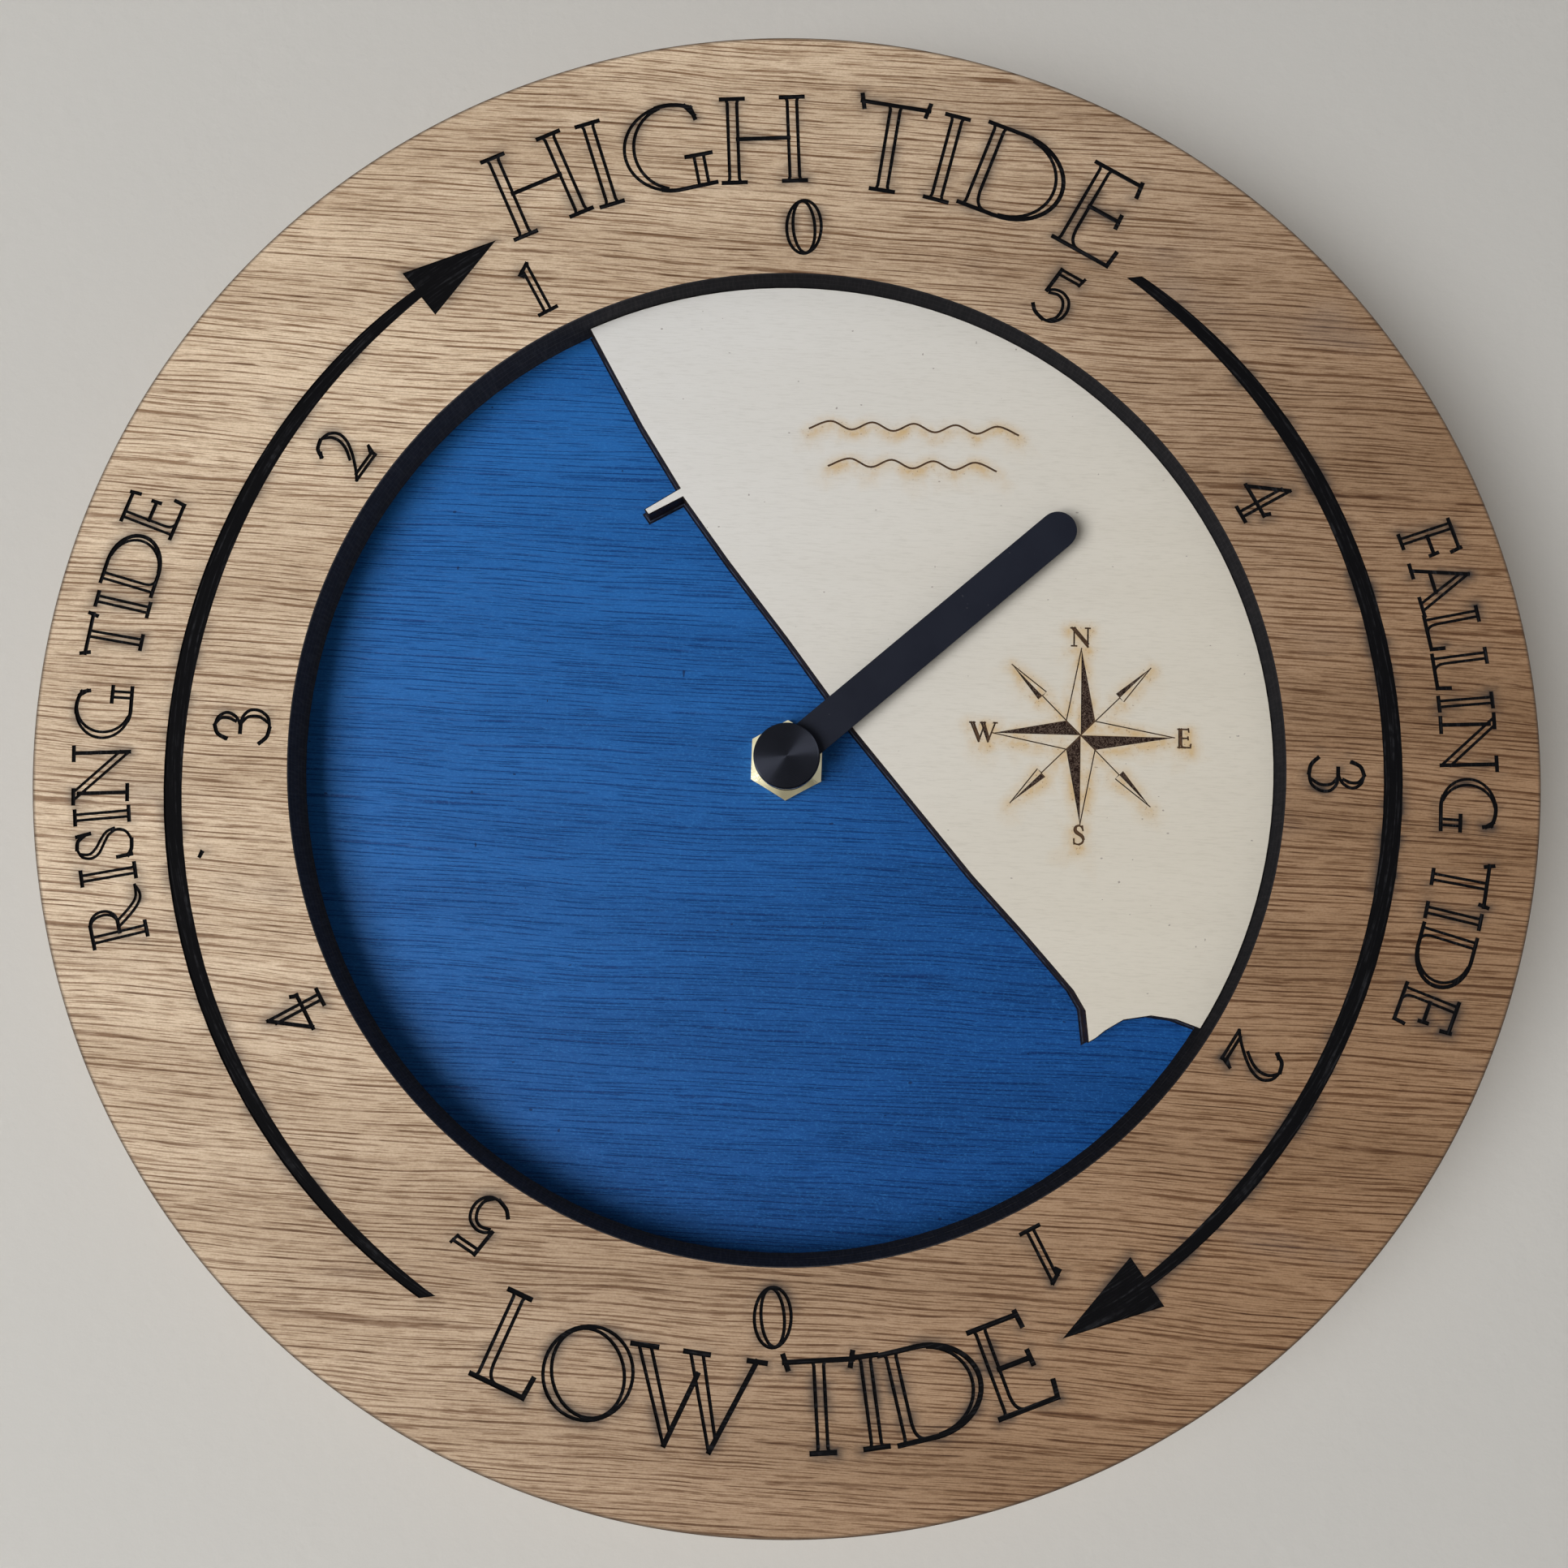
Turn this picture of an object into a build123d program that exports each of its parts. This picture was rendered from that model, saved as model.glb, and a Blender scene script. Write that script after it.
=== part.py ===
"""Wall-hung tide clock with one hand, in millimetres.

A stained plywood ring frames a recessed picture: a blue sea disc and a pale land panel.
A quartz movement behind the disc turns the hand once in 12 hours 25.2 minutes.

X points right and Z up as the clock hangs. The dial faces -Y, and the wall is the plane Y = 0.
The origin lies on the back of the movement, behind the hand's axis.
A place on the dial is (x, z). A depth is a distance in front of the wall, so it is -Y.
Angles on the dial are counter-clockwise from +X, as seen from in front.
"""
import os
from math import cos, radians, sin

from build123d import *

os.makedirs("parts", exist_ok=True)

# Dial: the opening's radius is a share of the dial's
dial_radius = 125.0
opening_share = 0.6616
ring_thickness = 5.0
spacer_thickness = 4.0
sea_thickness = 4.0
land_fit_gap = 0.15
disc_hole_gap = 0.15

# Where the land's outline meets the ring, as angles, and its coast between, as shares of the opening's
# radius: from the ring at upper left to the jetty, the headland, the cove and the ring at lower right.
land_west_angle = 116.5
land_east_angle = -31.3
west_coast_shares = [(-0.391, 0.799), (-0.327, 0.689), (-0.242, 0.558)]
jetty_shares = [(-0.314, 0.511), (-0.305, 0.499), (-0.235, 0.539)]
long_coast_shares = [(-0.135, 0.407), (-0.009, 0.251), (0.136, 0.063), (0.286, -0.111), (0.387, -0.228)]
headland_shares = [(0.497, -0.343), (0.559, -0.411), (0.595, -0.451), (0.619, -0.490), (0.627, -0.554)]
cove_shares = [(0.642, -0.545), (0.661, -0.529), (0.698, -0.506), (0.753, -0.496), (0.804, -0.502)]

# Hand and what holds it
hand_length = 63.2
hand_width = 6.4
hand_thickness = 0.8
hand_angle = 42.0
hand_setback = 2.5
collet_radius = 4.4
collet_neck_radius = 3.2
cap_radius = 5.55
cap_thickness = 2.0
cap_edge = 0.25
cap_top_wall = 0.8

# Clamping of the movement to the disc
bushing_radius = 4.0
bushing_flange_radius = 7.0
bushing_flange_thickness = 1.5
thread_margin = 0.5
nut_across_flats = 12.0
nut_thickness = 2.4
nut_bevel = 0.4
washer_radius = 9.0
washer_thickness = 0.8

# Fits
running_gap = 0.05
end_gap = 0.2
face_gap = 0.1
side_gap = 1.0

# Movement case: the cell sets its width and depth, the wheels and the cell its height
battery_radius = 7.25
battery_body_length = 49.2
battery_nub_radius = 2.75
battery_nub_length = 1.3
battery_gap = 0.3
battery_rim = 0.6
battery_recess = 0.5
contact_thickness = 0.4
contact_room = 1.4
contact_width = 10.0
contact_pad_radius = 3.0
strip_width = 2.8
strip_thickness = 0.3
notch_width = 14.0
notch_depth = 6.0
case_wall = 1.2
case_corner_radius = 3.0
cover_thickness = 1.5
plate_thickness = 1.0
post_radius = 2.0
boss_radius = 1.8
eye_radius = 5.5
eye_hole_radius = 2.5
eye_thickness = 3.5
tongue_width = 6.0
tongue_thickness = 1.0

# Wheels and arbors
wheel_thickness = 0.7
layer_gap = 0.5
motion_thickness = 1.2
arbor_radius = 0.5
pivot_radius = 0.35
pivot_length = 0.8
pivot_end_gap = 0.1
centre_arbor_radius = 0.75
centre_shoulder_radius = 1.4
clutch_gap = 0.03
clutch_radius = 2.0
clutch_thickness = 0.3
pipe_radius = 2.5
tide_hub_radius = 3.5

# Teeth: counts, modules, and the tooth's shape as shares of the module and of the pitch
tide_teeth = 27
transfer_pinion_teeth = 10
transfer_teeth = 46
cannon_teeth = 10
setting_teeth = 12
centre_teeth = 64
third_pinion_teeth = 8
third_teeth = 60
second_pinion_teeth = 8
second_teeth = 40
intermediate_pinion_teeth = 8
intermediate_teeth = 60
rotor_teeth = 10
motion_module = 0.35
centre_module = 0.25
third_module = 0.20
second_module = 0.26
intermediate_module = 0.18
addendum_share = 0.8
dedendum_share = 1.1
tip_width_share = 0.22
root_width_share = 0.54

# Directions from each arbor to the next
transfer_angle = 90.0
knob_angle = 0.0
third_angle = 180.0
second_angle = 110.0
intermediate_angle = 80.0
rotor_angle = 50.0

# Setting knob
knob_radius = 7.5
knob_rim_gap = 0.5
knob_thickness = 2.6
knob_setback = 0.3
knob_staff_radius = 1.2
knob_pivot_radius = 0.6
knob_flutes = 24
knob_flute_radius = 0.45
knob_dish_radius = 5.2
knob_dish_depth = 0.6

# Motor and electronics
magnet_radius = 2.4
magnet_gap = 0.6
rotor_staff_radius = 0.8
stator_thickness = 0.6
stator_ring_radius = 4.6
stator_leg_width = 5.0
stator_bridge_width = 3.5
stator_end_width = 3.0
stator_post_radius = 1.2
core_thickness = 0.6
core_width = 2.6
core_gap = 0.05
coil_length = 18.0
coil_side_gap = 0.8
bobbin_wall = 0.6
bobbin_flange = 1.0
bobbin_height = 6.0
winding_inset = 0.3
board_thickness = 0.8
board_width = 5.5
board_length = 22.9
board_margin = 0.1
chip_radius = 2.0
chip_height = 1.0
chip_rise_share = 0.69
crystal_radius = 1.0
crystal_length = 6.0
crystal_rise = 2.9
crystal_seat_gap = 0.05


def stepped(place, distance, angle):
    """The place at a distance from another one, in the direction of an angle."""
    return (place[0] + distance * cos(radians(angle)), place[1] + distance * sin(radians(angle)))


def mesh_distance(teeth_a, teeth_b, module):
    """Distance between the arbors of two wheels in mesh."""
    return module * (teeth_a + teeth_b) / 2


def tip_radius(teeth, module):
    """Outer radius of a toothed wheel."""
    return module * teeth / 2 + addendum_share * module


def meshed_phase(teeth_a, phase_a, teeth_b, angle):
    """Angle of a tooth of wheel b that stands in mesh with wheel a, with b at an angle from a."""
    pitches_off = (phase_a - angle) * teeth_a / 360
    return angle + 180 + (0.5 - pitches_off) * 360 / teeth_b


opening_radius = dial_radius * opening_share

# Depths of the dial's layers
battery_depth = battery_recess + battery_radius
room_front = battery_depth + battery_radius + battery_gap
case_depth = room_front + case_wall
sea_back = case_depth + washer_thickness
sea_face = sea_back + sea_thickness
land_face = sea_face + spacer_thickness
ring_face = land_face + ring_thickness
nut_front = sea_face + nut_thickness
bushing_front = nut_front + thread_margin
collet_back = bushing_front + side_gap
blade_back = ring_face - hand_setback
blade_front = blade_back + hand_thickness
cap_front = blade_front + cap_thickness
pipe_front = cap_front - cap_top_wall

# Depths of the wheels: four layers behind the middle plate, two in front of it
layer_pitch = wheel_thickness + layer_gap
first_layer = cover_thickness + layer_gap
layers = [first_layer + layer * layer_pitch for layer in range(4)]
layer_fronts = [layer_back + wheel_thickness for layer_back in layers]
plate_back = layers[-1] + layer_pitch
plate_front = plate_back + plate_thickness
motion_back = plate_front + layer_gap
motion_front = motion_back + motion_thickness
tide_back = motion_front + layer_gap
tide_front = tide_back + motion_thickness
transfer_boss_back = tide_front + layer_gap
knob_boss_back = tide_back
flange_back = room_front - bushing_flange_thickness

# Places of the arbors
axis = (0, 0)
transfer_distance = mesh_distance(cannon_teeth, transfer_teeth, motion_module)
tide_module = 2 * transfer_distance / (tide_teeth + transfer_pinion_teeth)
transfer_place = stepped(axis, transfer_distance, transfer_angle)
knob_distance = mesh_distance(transfer_teeth, setting_teeth, motion_module)
knob_place = stepped(transfer_place, knob_distance, knob_angle)
third_place = stepped(axis, mesh_distance(centre_teeth, third_pinion_teeth, centre_module), third_angle)
second_place = stepped(
    third_place, mesh_distance(third_teeth, second_pinion_teeth, third_module), second_angle)
intermediate_place = stepped(
    second_place, mesh_distance(second_teeth, intermediate_pinion_teeth, second_module), intermediate_angle)
rotor_place = stepped(
    intermediate_place, mesh_distance(intermediate_teeth, rotor_teeth, intermediate_module), rotor_angle)
train_places = [third_place, second_place, intermediate_place, rotor_place]

# Tooth phases: each wheel is in mesh with the one before it
transfer_pinion_phase = meshed_phase(tide_teeth, 0, transfer_pinion_teeth, transfer_angle)
cannon_phase = meshed_phase(transfer_teeth, 0, cannon_teeth, transfer_angle + 180)
setting_phase = meshed_phase(transfer_teeth, 0, setting_teeth, knob_angle)
third_pinion_phase = meshed_phase(centre_teeth, 0, third_pinion_teeth, third_angle)
second_pinion_phase = meshed_phase(third_teeth, 0, second_pinion_teeth, second_angle)
intermediate_pinion_phase = meshed_phase(second_teeth, 0, intermediate_pinion_teeth, intermediate_angle)
rotor_phase = meshed_phase(intermediate_teeth, 0, rotor_teeth, rotor_angle)

# Room in the case
room_half_width = (battery_body_length + battery_nub_length) / 2 + contact_room
case_half_width = room_half_width + case_wall
room_floor = -(tip_radius(centre_teeth, centre_module) + side_gap)
bay_ceiling = room_floor - case_wall
battery_height = bay_ceiling - battery_gap - battery_radius
bay_floor = battery_height - battery_radius - battery_gap
case_bottom = bay_floor - case_wall
coil_height = rotor_place[1] + stator_ring_radius + core_width / 2
room_ceiling = coil_height + bobbin_height / 2 + layer_gap
case_top = room_ceiling + case_wall
case_middle = (case_top + case_bottom) / 2
cover_seam = (room_floor + bay_ceiling) / 2
eye_place = (0, case_top + eye_radius)
post_inset = post_radius + layer_gap
post_places = [
    (side * (room_half_width - post_inset), height)
    for side in (-1, 1)
    for height in (room_floor + post_inset, room_ceiling - post_inset)]

# Places of the motor and the electronics
core_back = layers[2]
stator_back = core_back + core_thickness
coil_left = rotor_place[0] + stator_ring_radius + coil_side_gap
coil_right = coil_left + coil_length
core_left = rotor_place[0] - stator_leg_width / 2
core_right = coil_right + stator_end_width
core_top = coil_height + core_width / 2
bobbin_half_depth = plate_back - core_back - core_thickness / 2
board_right = room_half_width - board_margin
board_left = board_right - board_width
board_centre = (board_left + board_right) / 2
board_bottom = room_floor + strip_thickness
board_top = board_bottom + board_length
board_back = plate_back - board_thickness
strip_back = plate_back - strip_width


def face_plane(depth):
    """Plane parallel to the wall at a depth, seen from in front."""
    return Plane.XZ.offset(depth)


def disc(place, radius, back, front, mode=Mode.ADD):
    """Round slab between two depths."""
    with BuildSketch(face_plane(back)) as outline:
        with Locations(place):
            Circle(radius)
    extrude(outline.sketch, amount=front - back, mode=mode)


def slab(left, right, bottom, top, back, front, mode=Mode.ADD):
    """Square-cornered slab between two depths."""
    with BuildSketch(face_plane(back)) as outline:
        with Locations(((left + right) / 2, (bottom + top) / 2)):
            Rectangle(right - left, top - bottom)
    extrude(outline.sketch, amount=front - back, mode=mode)


def toothed_disc(place, teeth, module, phase, back, front):
    """Toothed wheel between two depths, with straight flanks and one tooth at the phase angle."""
    root_radius = module * teeth / 2 - dedendum_share * module
    corners_of_tooth = [
        (root_radius, -root_width_share / 2),
        (tip_radius(teeth, module), -tip_width_share / 2),
        (tip_radius(teeth, module), tip_width_share / 2),
        (root_radius, root_width_share / 2)]
    corners = [
        stepped(place, radius, phase + (tooth + share) * 360 / teeth)
        for tooth in range(teeth)
        for radius, share in corners_of_tooth]
    with BuildSketch(face_plane(back)) as outline:
        with BuildLine():
            Polyline(corners, close=True)
        make_face()
    extrude(outline.sketch, amount=front - back)


def train_arbor(place):
    """Arbor between the back cover and the middle plate, with a pivot at each end."""
    disc(place, pivot_radius, cover_thickness - pivot_length, plate_front)
    disc(place, arbor_radius, cover_thickness + end_gap, plate_back - end_gap)


def case_outline():
    """Round-cornered outline of the movement, added to the sketch in hand."""
    with Locations((0, case_middle)):
        RectangleRounded(2 * case_half_width, case_top - case_bottom, case_corner_radius)


# Dial: front ring, spacer ring, sea and land
with BuildPart() as front_ring:
    disc(axis, dial_radius, land_face, ring_face)
    disc(axis, opening_radius, land_face, ring_face, Mode.SUBTRACT)

with BuildPart() as spacer_ring:
    disc(axis, dial_radius, sea_face, land_face)
    disc(axis, opening_radius, sea_face, land_face, Mode.SUBTRACT)

with BuildPart() as sea_disc:
    disc(axis, dial_radius, sea_back, sea_face)
    disc(axis, bushing_radius + disc_hole_gap, sea_back, sea_face, Mode.SUBTRACT)

with BuildPart() as land_panel:
    land_radius = opening_radius - land_fit_gap
    coast_shares = west_coast_shares + jetty_shares + long_coast_shares + headland_shares + cove_shares
    west_corner = stepped(axis, land_radius, land_west_angle)
    east_corner = stepped(axis, land_radius, land_east_angle)
    coast = [(x_share * opening_radius, z_share * opening_radius) for x_share, z_share in coast_shares]
    with BuildSketch(face_plane(sea_face)) as land_outline:
        with BuildLine():
            Polyline([west_corner] + coast + [east_corner])
            inland = stepped(axis, land_radius, (land_west_angle + land_east_angle) / 2)
            ThreePointArc(east_corner, inland, west_corner)
        make_face()
    extrude(land_outline.sketch, amount=spacer_thickness)

# Hand: blade, collet that carries it on the tide wheel's pipe, and cap over its centre
with BuildPart() as hand_blade:
    tip_place = hand_length - hand_width / 2
    with BuildSketch(face_plane(blade_back)) as blade_outline:
        with Locations(Rotation(0, 0, hand_angle)):
            with Locations((tip_place / 2, 0)):
                SlotCenterToCenter(tip_place, hand_width)
        Circle((cap_radius + collet_radius) / 2)
        Circle(collet_neck_radius, mode=Mode.SUBTRACT)
    extrude(blade_outline.sketch, amount=hand_thickness)

with BuildPart() as hand_collet:
    disc(axis, collet_radius, collet_back, blade_back)
    disc(axis, collet_neck_radius, blade_back, blade_front)
    disc(axis, pipe_radius, collet_back, blade_front, Mode.SUBTRACT)

with BuildPart() as hub_cap:
    disc(axis, cap_radius, blade_front, cap_front)
    chamfer(hub_cap.faces().sort_by(Axis.Y)[0].edges(), cap_edge)
    disc(axis, pipe_radius, blade_front, pipe_front, Mode.SUBTRACT)

# Clamping: threaded bushing through the disc, nut in front, rubber washer behind
with BuildPart() as threaded_bushing:
    disc(axis, bushing_flange_radius, flange_back, room_front)
    disc(axis, bushing_radius, room_front, bushing_front)
    disc(axis, pipe_radius + running_gap, flange_back, bushing_front, Mode.SUBTRACT)

with BuildPart() as hex_nut:
    with BuildSketch(face_plane(sea_face)) as nut_outline:
        RegularPolygon(nut_across_flats / 2, 6, major_radius=False, rotation=30)
    extrude(nut_outline.sketch, amount=nut_thickness)
    chamfer(hex_nut.faces().sort_by(Axis.Y)[0].edges(), nut_bevel)
    disc(axis, bushing_radius, sea_face, nut_front, Mode.SUBTRACT)

with BuildPart() as rubber_washer:
    disc(axis, washer_radius, case_depth, sea_back)
    disc(axis, bushing_radius + disc_hole_gap, case_depth, sea_back, Mode.SUBTRACT)

# Movement case: gear room above, open cell bay with a finger notch below, hanging eye on top
with BuildPart() as movement_case:
    with BuildSketch(face_plane(0)) as case_sketch:
        case_outline()
    extrude(case_sketch.sketch, amount=case_depth)
    slab(-room_half_width, room_half_width, room_floor, room_ceiling, 0, room_front, Mode.SUBTRACT)
    slab(-room_half_width, room_half_width, bay_floor, bay_ceiling, 0, room_front, Mode.SUBTRACT)
    slab(-case_half_width, case_half_width, cover_seam, case_top, 0, cover_thickness, Mode.SUBTRACT)
    slab(-notch_width / 2, notch_width / 2, case_bottom, bay_floor, 0, notch_depth, Mode.SUBTRACT)
    for side in (-1, 1):
        slot_edges = sorted((side * room_half_width, side * (room_half_width - contact_thickness)))
        slab(*slot_edges, bay_ceiling, room_floor, strip_back, plate_back, Mode.SUBTRACT)
    with BuildSketch(face_plane(0)) as eye_outline:
        with Locations(eye_place):
            Circle(eye_radius)
        with Locations((0, (case_top + eye_place[1]) / 2)):
            Rectangle(2 * eye_radius, eye_place[1] - case_top)
        with Locations(eye_place):
            Circle(eye_hole_radius, mode=Mode.SUBTRACT)
    extrude(eye_outline.sketch, amount=eye_thickness)
    for place in post_places:
        disc(place, post_radius, plate_front, room_front)
    for place, boss_back, staff_radius in (
            (transfer_place, transfer_boss_back, pivot_radius),
            (knob_place, knob_boss_back, knob_pivot_radius)):
        disc(place, boss_radius, boss_back, room_front)
        hole_front = boss_back + pivot_length + pivot_end_gap
        disc(place, staff_radius + running_gap, boss_back, hole_front, Mode.SUBTRACT)
    disc(axis, bushing_radius + running_gap, room_front, case_depth, Mode.SUBTRACT)

with BuildPart() as back_cover:
    with BuildSketch(face_plane(0)) as cover_outline:
        case_outline()
        with Locations((0, (cover_seam + case_top) / 2)):
            Rectangle(2 * case_half_width, case_top - cover_seam, mode=Mode.INTERSECT)
    extrude(cover_outline.sketch, amount=cover_thickness)
    disc(knob_place, knob_radius + knob_rim_gap, 0, cover_thickness, Mode.SUBTRACT)
    for place in [axis] + train_places:
        hole_back = cover_thickness - pivot_length - pivot_end_gap
        disc(place, pivot_radius + running_gap, hole_back, cover_thickness, Mode.SUBTRACT)
    tongue_outer = room_half_width - board_margin
    tongue_top = post_places[-1][1]
    for side in (-1, 1):
        tongue_edges = sorted((side * tongue_outer, side * (tongue_outer - tongue_thickness)))
        slab(*tongue_edges, tongue_top - tongue_width, tongue_top, cover_thickness, plate_back)

with BuildPart() as middle_plate:
    plate_side = room_half_width - end_gap
    plate_bottom = room_floor + end_gap
    plate_top = room_ceiling - end_gap
    slab(-plate_side, plate_side, plate_bottom, plate_top, plate_back, plate_front)
    for place in ((rotor_place[0], coil_height), (core_right - stator_end_width / 2, coil_height)):
        disc(place, stator_post_radius, stator_back + stator_thickness, plate_back)
    for place in train_places + [transfer_place]:
        disc(place, pivot_radius + running_gap, plate_back, plate_front, Mode.SUBTRACT)
    disc(axis, centre_arbor_radius + running_gap, plate_back, plate_front, Mode.SUBTRACT)
    disc(knob_place, knob_staff_radius + running_gap, plate_back, plate_front, Mode.SUBTRACT)

# Motion work in front of the middle plate: tide wheel, transfer wheel, cannon pinion, setting knob
with BuildPart() as tide_wheel:
    toothed_disc(axis, tide_teeth, tide_module, 0, tide_back, tide_front)
    disc(axis, tide_hub_radius, tide_back, flange_back - end_gap)
    disc(axis, pipe_radius, flange_back - end_gap, pipe_front)
    disc(axis, centre_arbor_radius + running_gap, tide_back, pipe_front, Mode.SUBTRACT)

with BuildPart() as transfer_wheel:
    toothed_disc(transfer_place, transfer_teeth, motion_module, 0, motion_back, motion_front)
    toothed_disc(
        transfer_place, transfer_pinion_teeth, tide_module, transfer_pinion_phase, motion_front, tide_front)
    disc(transfer_place, arbor_radius, plate_front + end_gap, transfer_boss_back - end_gap)
    disc(transfer_place, pivot_radius, plate_back, transfer_boss_back + pivot_length)

with BuildPart() as cannon_pinion:
    toothed_disc(axis, cannon_teeth, motion_module, cannon_phase, motion_back, motion_front)
    disc(axis, pivot_radius, cover_thickness - pivot_length, cover_thickness + end_gap)
    disc(axis, centre_arbor_radius, cover_thickness + end_gap, pipe_front - end_gap)
    disc(axis, centre_shoulder_radius, layer_fronts[3] + face_gap, plate_back - face_gap)

with BuildPart() as setting_knob:
    knob_front = knob_setback + knob_thickness
    with BuildSketch(face_plane(knob_setback)) as knob_outline:
        with Locations(knob_place):
            Circle(knob_radius)
            with PolarLocations(knob_radius, knob_flutes):
                Circle(knob_flute_radius, mode=Mode.SUBTRACT)
    extrude(knob_outline.sketch, amount=knob_thickness)
    disc(knob_place, knob_dish_radius, knob_setback, knob_setback + knob_dish_depth, Mode.SUBTRACT)
    disc(knob_place, knob_staff_radius, knob_front, knob_boss_back - end_gap)
    disc(knob_place, knob_pivot_radius, knob_boss_back - end_gap, knob_boss_back + pivot_length)

with BuildPart() as setting_pinion:
    toothed_disc(knob_place, setting_teeth, motion_module, setting_phase, motion_back, motion_front)
    disc(knob_place, knob_staff_radius, motion_back, motion_front, Mode.SUBTRACT)

# Going train behind the middle plate: centre wheel on its clutch, third, second, intermediate, rotor
with BuildPart() as centre_wheel:
    toothed_disc(axis, centre_teeth, centre_module, 0, layers[3], layer_fronts[3])
    disc(axis, centre_arbor_radius + clutch_gap, layers[3], layer_fronts[3], Mode.SUBTRACT)

with BuildPart() as clutch_washer:
    clutch_front = layers[3] - face_gap
    disc(axis, clutch_radius, clutch_front - clutch_thickness, clutch_front)
    disc(axis, centre_arbor_radius, clutch_front - clutch_thickness, clutch_front, Mode.SUBTRACT)

with BuildPart() as third_wheel:
    train_arbor(third_place)
    toothed_disc(third_place, third_teeth, third_module, 0, layers[2], layer_fronts[2])
    toothed_disc(
        third_place, third_pinion_teeth, centre_module, third_pinion_phase,
        layer_fronts[2], layer_fronts[3])

with BuildPart() as second_wheel:
    train_arbor(second_place)
    toothed_disc(second_place, second_teeth, second_module, 0, layers[1], layer_fronts[1])
    toothed_disc(
        second_place, second_pinion_teeth, third_module, second_pinion_phase,
        layer_fronts[1], layer_fronts[2])

with BuildPart() as intermediate_wheel:
    train_arbor(intermediate_place)
    toothed_disc(intermediate_place, intermediate_teeth, intermediate_module, 0, layers[0], layer_fronts[0])
    toothed_disc(
        intermediate_place, intermediate_pinion_teeth, second_module, intermediate_pinion_phase,
        layer_fronts[0], layer_fronts[1])

with BuildPart() as rotor_pinion:
    train_arbor(rotor_place)
    toothed_disc(rotor_place, rotor_teeth, intermediate_module, rotor_phase, layers[0], layer_fronts[0])
    disc(rotor_place, rotor_staff_radius, layers[1], layer_fronts[3])

with BuildPart() as rotor_magnet:
    disc(rotor_place, magnet_radius, layers[2], layer_fronts[3])
    disc(rotor_place, rotor_staff_radius, layers[2], layer_fronts[3], Mode.SUBTRACT)

# Motor: stator around the rotor, core through the coil
with BuildPart() as stator_plate:
    with BuildSketch(face_plane(stator_back)) as stator_outline:
        with Locations(rotor_place):
            Circle(stator_ring_radius)
        with Locations((rotor_place[0], (rotor_place[1] + core_top) / 2)):
            Rectangle(stator_leg_width, core_top - rotor_place[1])
        with Locations(((rotor_place[0] + core_right) / 2, rotor_place[1])):
            Rectangle(core_right - rotor_place[0], stator_bridge_width)
        bridge_bottom = rotor_place[1] - stator_bridge_width / 2
        with Locations((core_right - stator_end_width / 2, (bridge_bottom + core_top) / 2)):
            Rectangle(stator_end_width, core_top - bridge_bottom)
        with Locations(rotor_place):
            Circle(magnet_radius + magnet_gap, mode=Mode.SUBTRACT)
    extrude(stator_outline.sketch, amount=stator_thickness)

with BuildPart() as coil_core:
    slab(core_left, core_right, core_top - core_width, core_top, core_back, stator_back)

coil_section = Plane.YZ.offset(coil_left)
coil_axis = (-(core_back + core_thickness / 2), coil_height)
core_slot_depth = core_thickness + 2 * core_gap
core_slot_height = core_width + 2 * core_gap
barrel_depth = core_slot_depth + 2 * bobbin_wall
barrel_height = core_slot_height + 2 * bobbin_wall

with BuildPart() as coil_bobbin:
    for flange_start, length, depth, height in (
            (0, coil_length, barrel_depth, barrel_height),
            (0, bobbin_flange, 2 * bobbin_half_depth, bobbin_height),
            (coil_length - bobbin_flange, bobbin_flange, 2 * bobbin_half_depth, bobbin_height)):
        with BuildSketch(coil_section.offset(flange_start)) as section:
            with Locations(coil_axis):
                Rectangle(depth, height)
        extrude(section.sketch, amount=length)
    with BuildSketch(coil_section) as core_slot:
        with Locations(coil_axis):
            Rectangle(core_slot_depth, core_slot_height)
    extrude(core_slot.sketch, amount=coil_length, mode=Mode.SUBTRACT)

with BuildPart() as coil_winding:
    with BuildSketch(coil_section.offset(bobbin_flange)) as winding_section:
        with Locations(coil_axis):
            Rectangle(2 * (bobbin_half_depth - winding_inset), bobbin_height - 2 * winding_inset)
            Rectangle(barrel_depth, barrel_height, mode=Mode.SUBTRACT)
    extrude(winding_section.sketch, amount=coil_length - 2 * bobbin_flange)

# Circuit board with its chip and quartz crystal
with BuildPart() as circuit_board:
    slab(board_left, board_right, board_bottom, board_top, board_back, plate_back)

with BuildPart() as driver_chip:
    chip_place = (board_centre, board_bottom + chip_rise_share * board_length)
    disc(chip_place, chip_radius, board_back - chip_height, board_back)

with BuildPart() as quartz_crystal:
    crystal_depth = board_back - crystal_seat_gap - crystal_radius
    with BuildSketch(Plane.XY.offset(board_bottom + crystal_rise)) as crystal_section:
        with Locations((board_centre, -crystal_depth)):
            Circle(crystal_radius)
    extrude(crystal_section.sketch, amount=crystal_length)

# Cell and its contacts
battery_end = -(room_half_width - contact_room)

with BuildPart() as battery_cell:
    with BuildSketch(Plane.YZ.offset(battery_end)) as cell_section:
        with Locations((-battery_depth, battery_height)):
            Circle(battery_radius)
    extrude(cell_section.sketch, amount=battery_body_length)
    fillet(battery_cell.edges().filter_by(GeomType.CIRCLE), battery_rim)
    with BuildSketch(Plane.YZ.offset(battery_end + battery_body_length)) as nub_section:
        with Locations((-battery_depth, battery_height)):
            Circle(battery_nub_radius)
    extrude(nub_section.sketch, amount=battery_nub_length)


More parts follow.
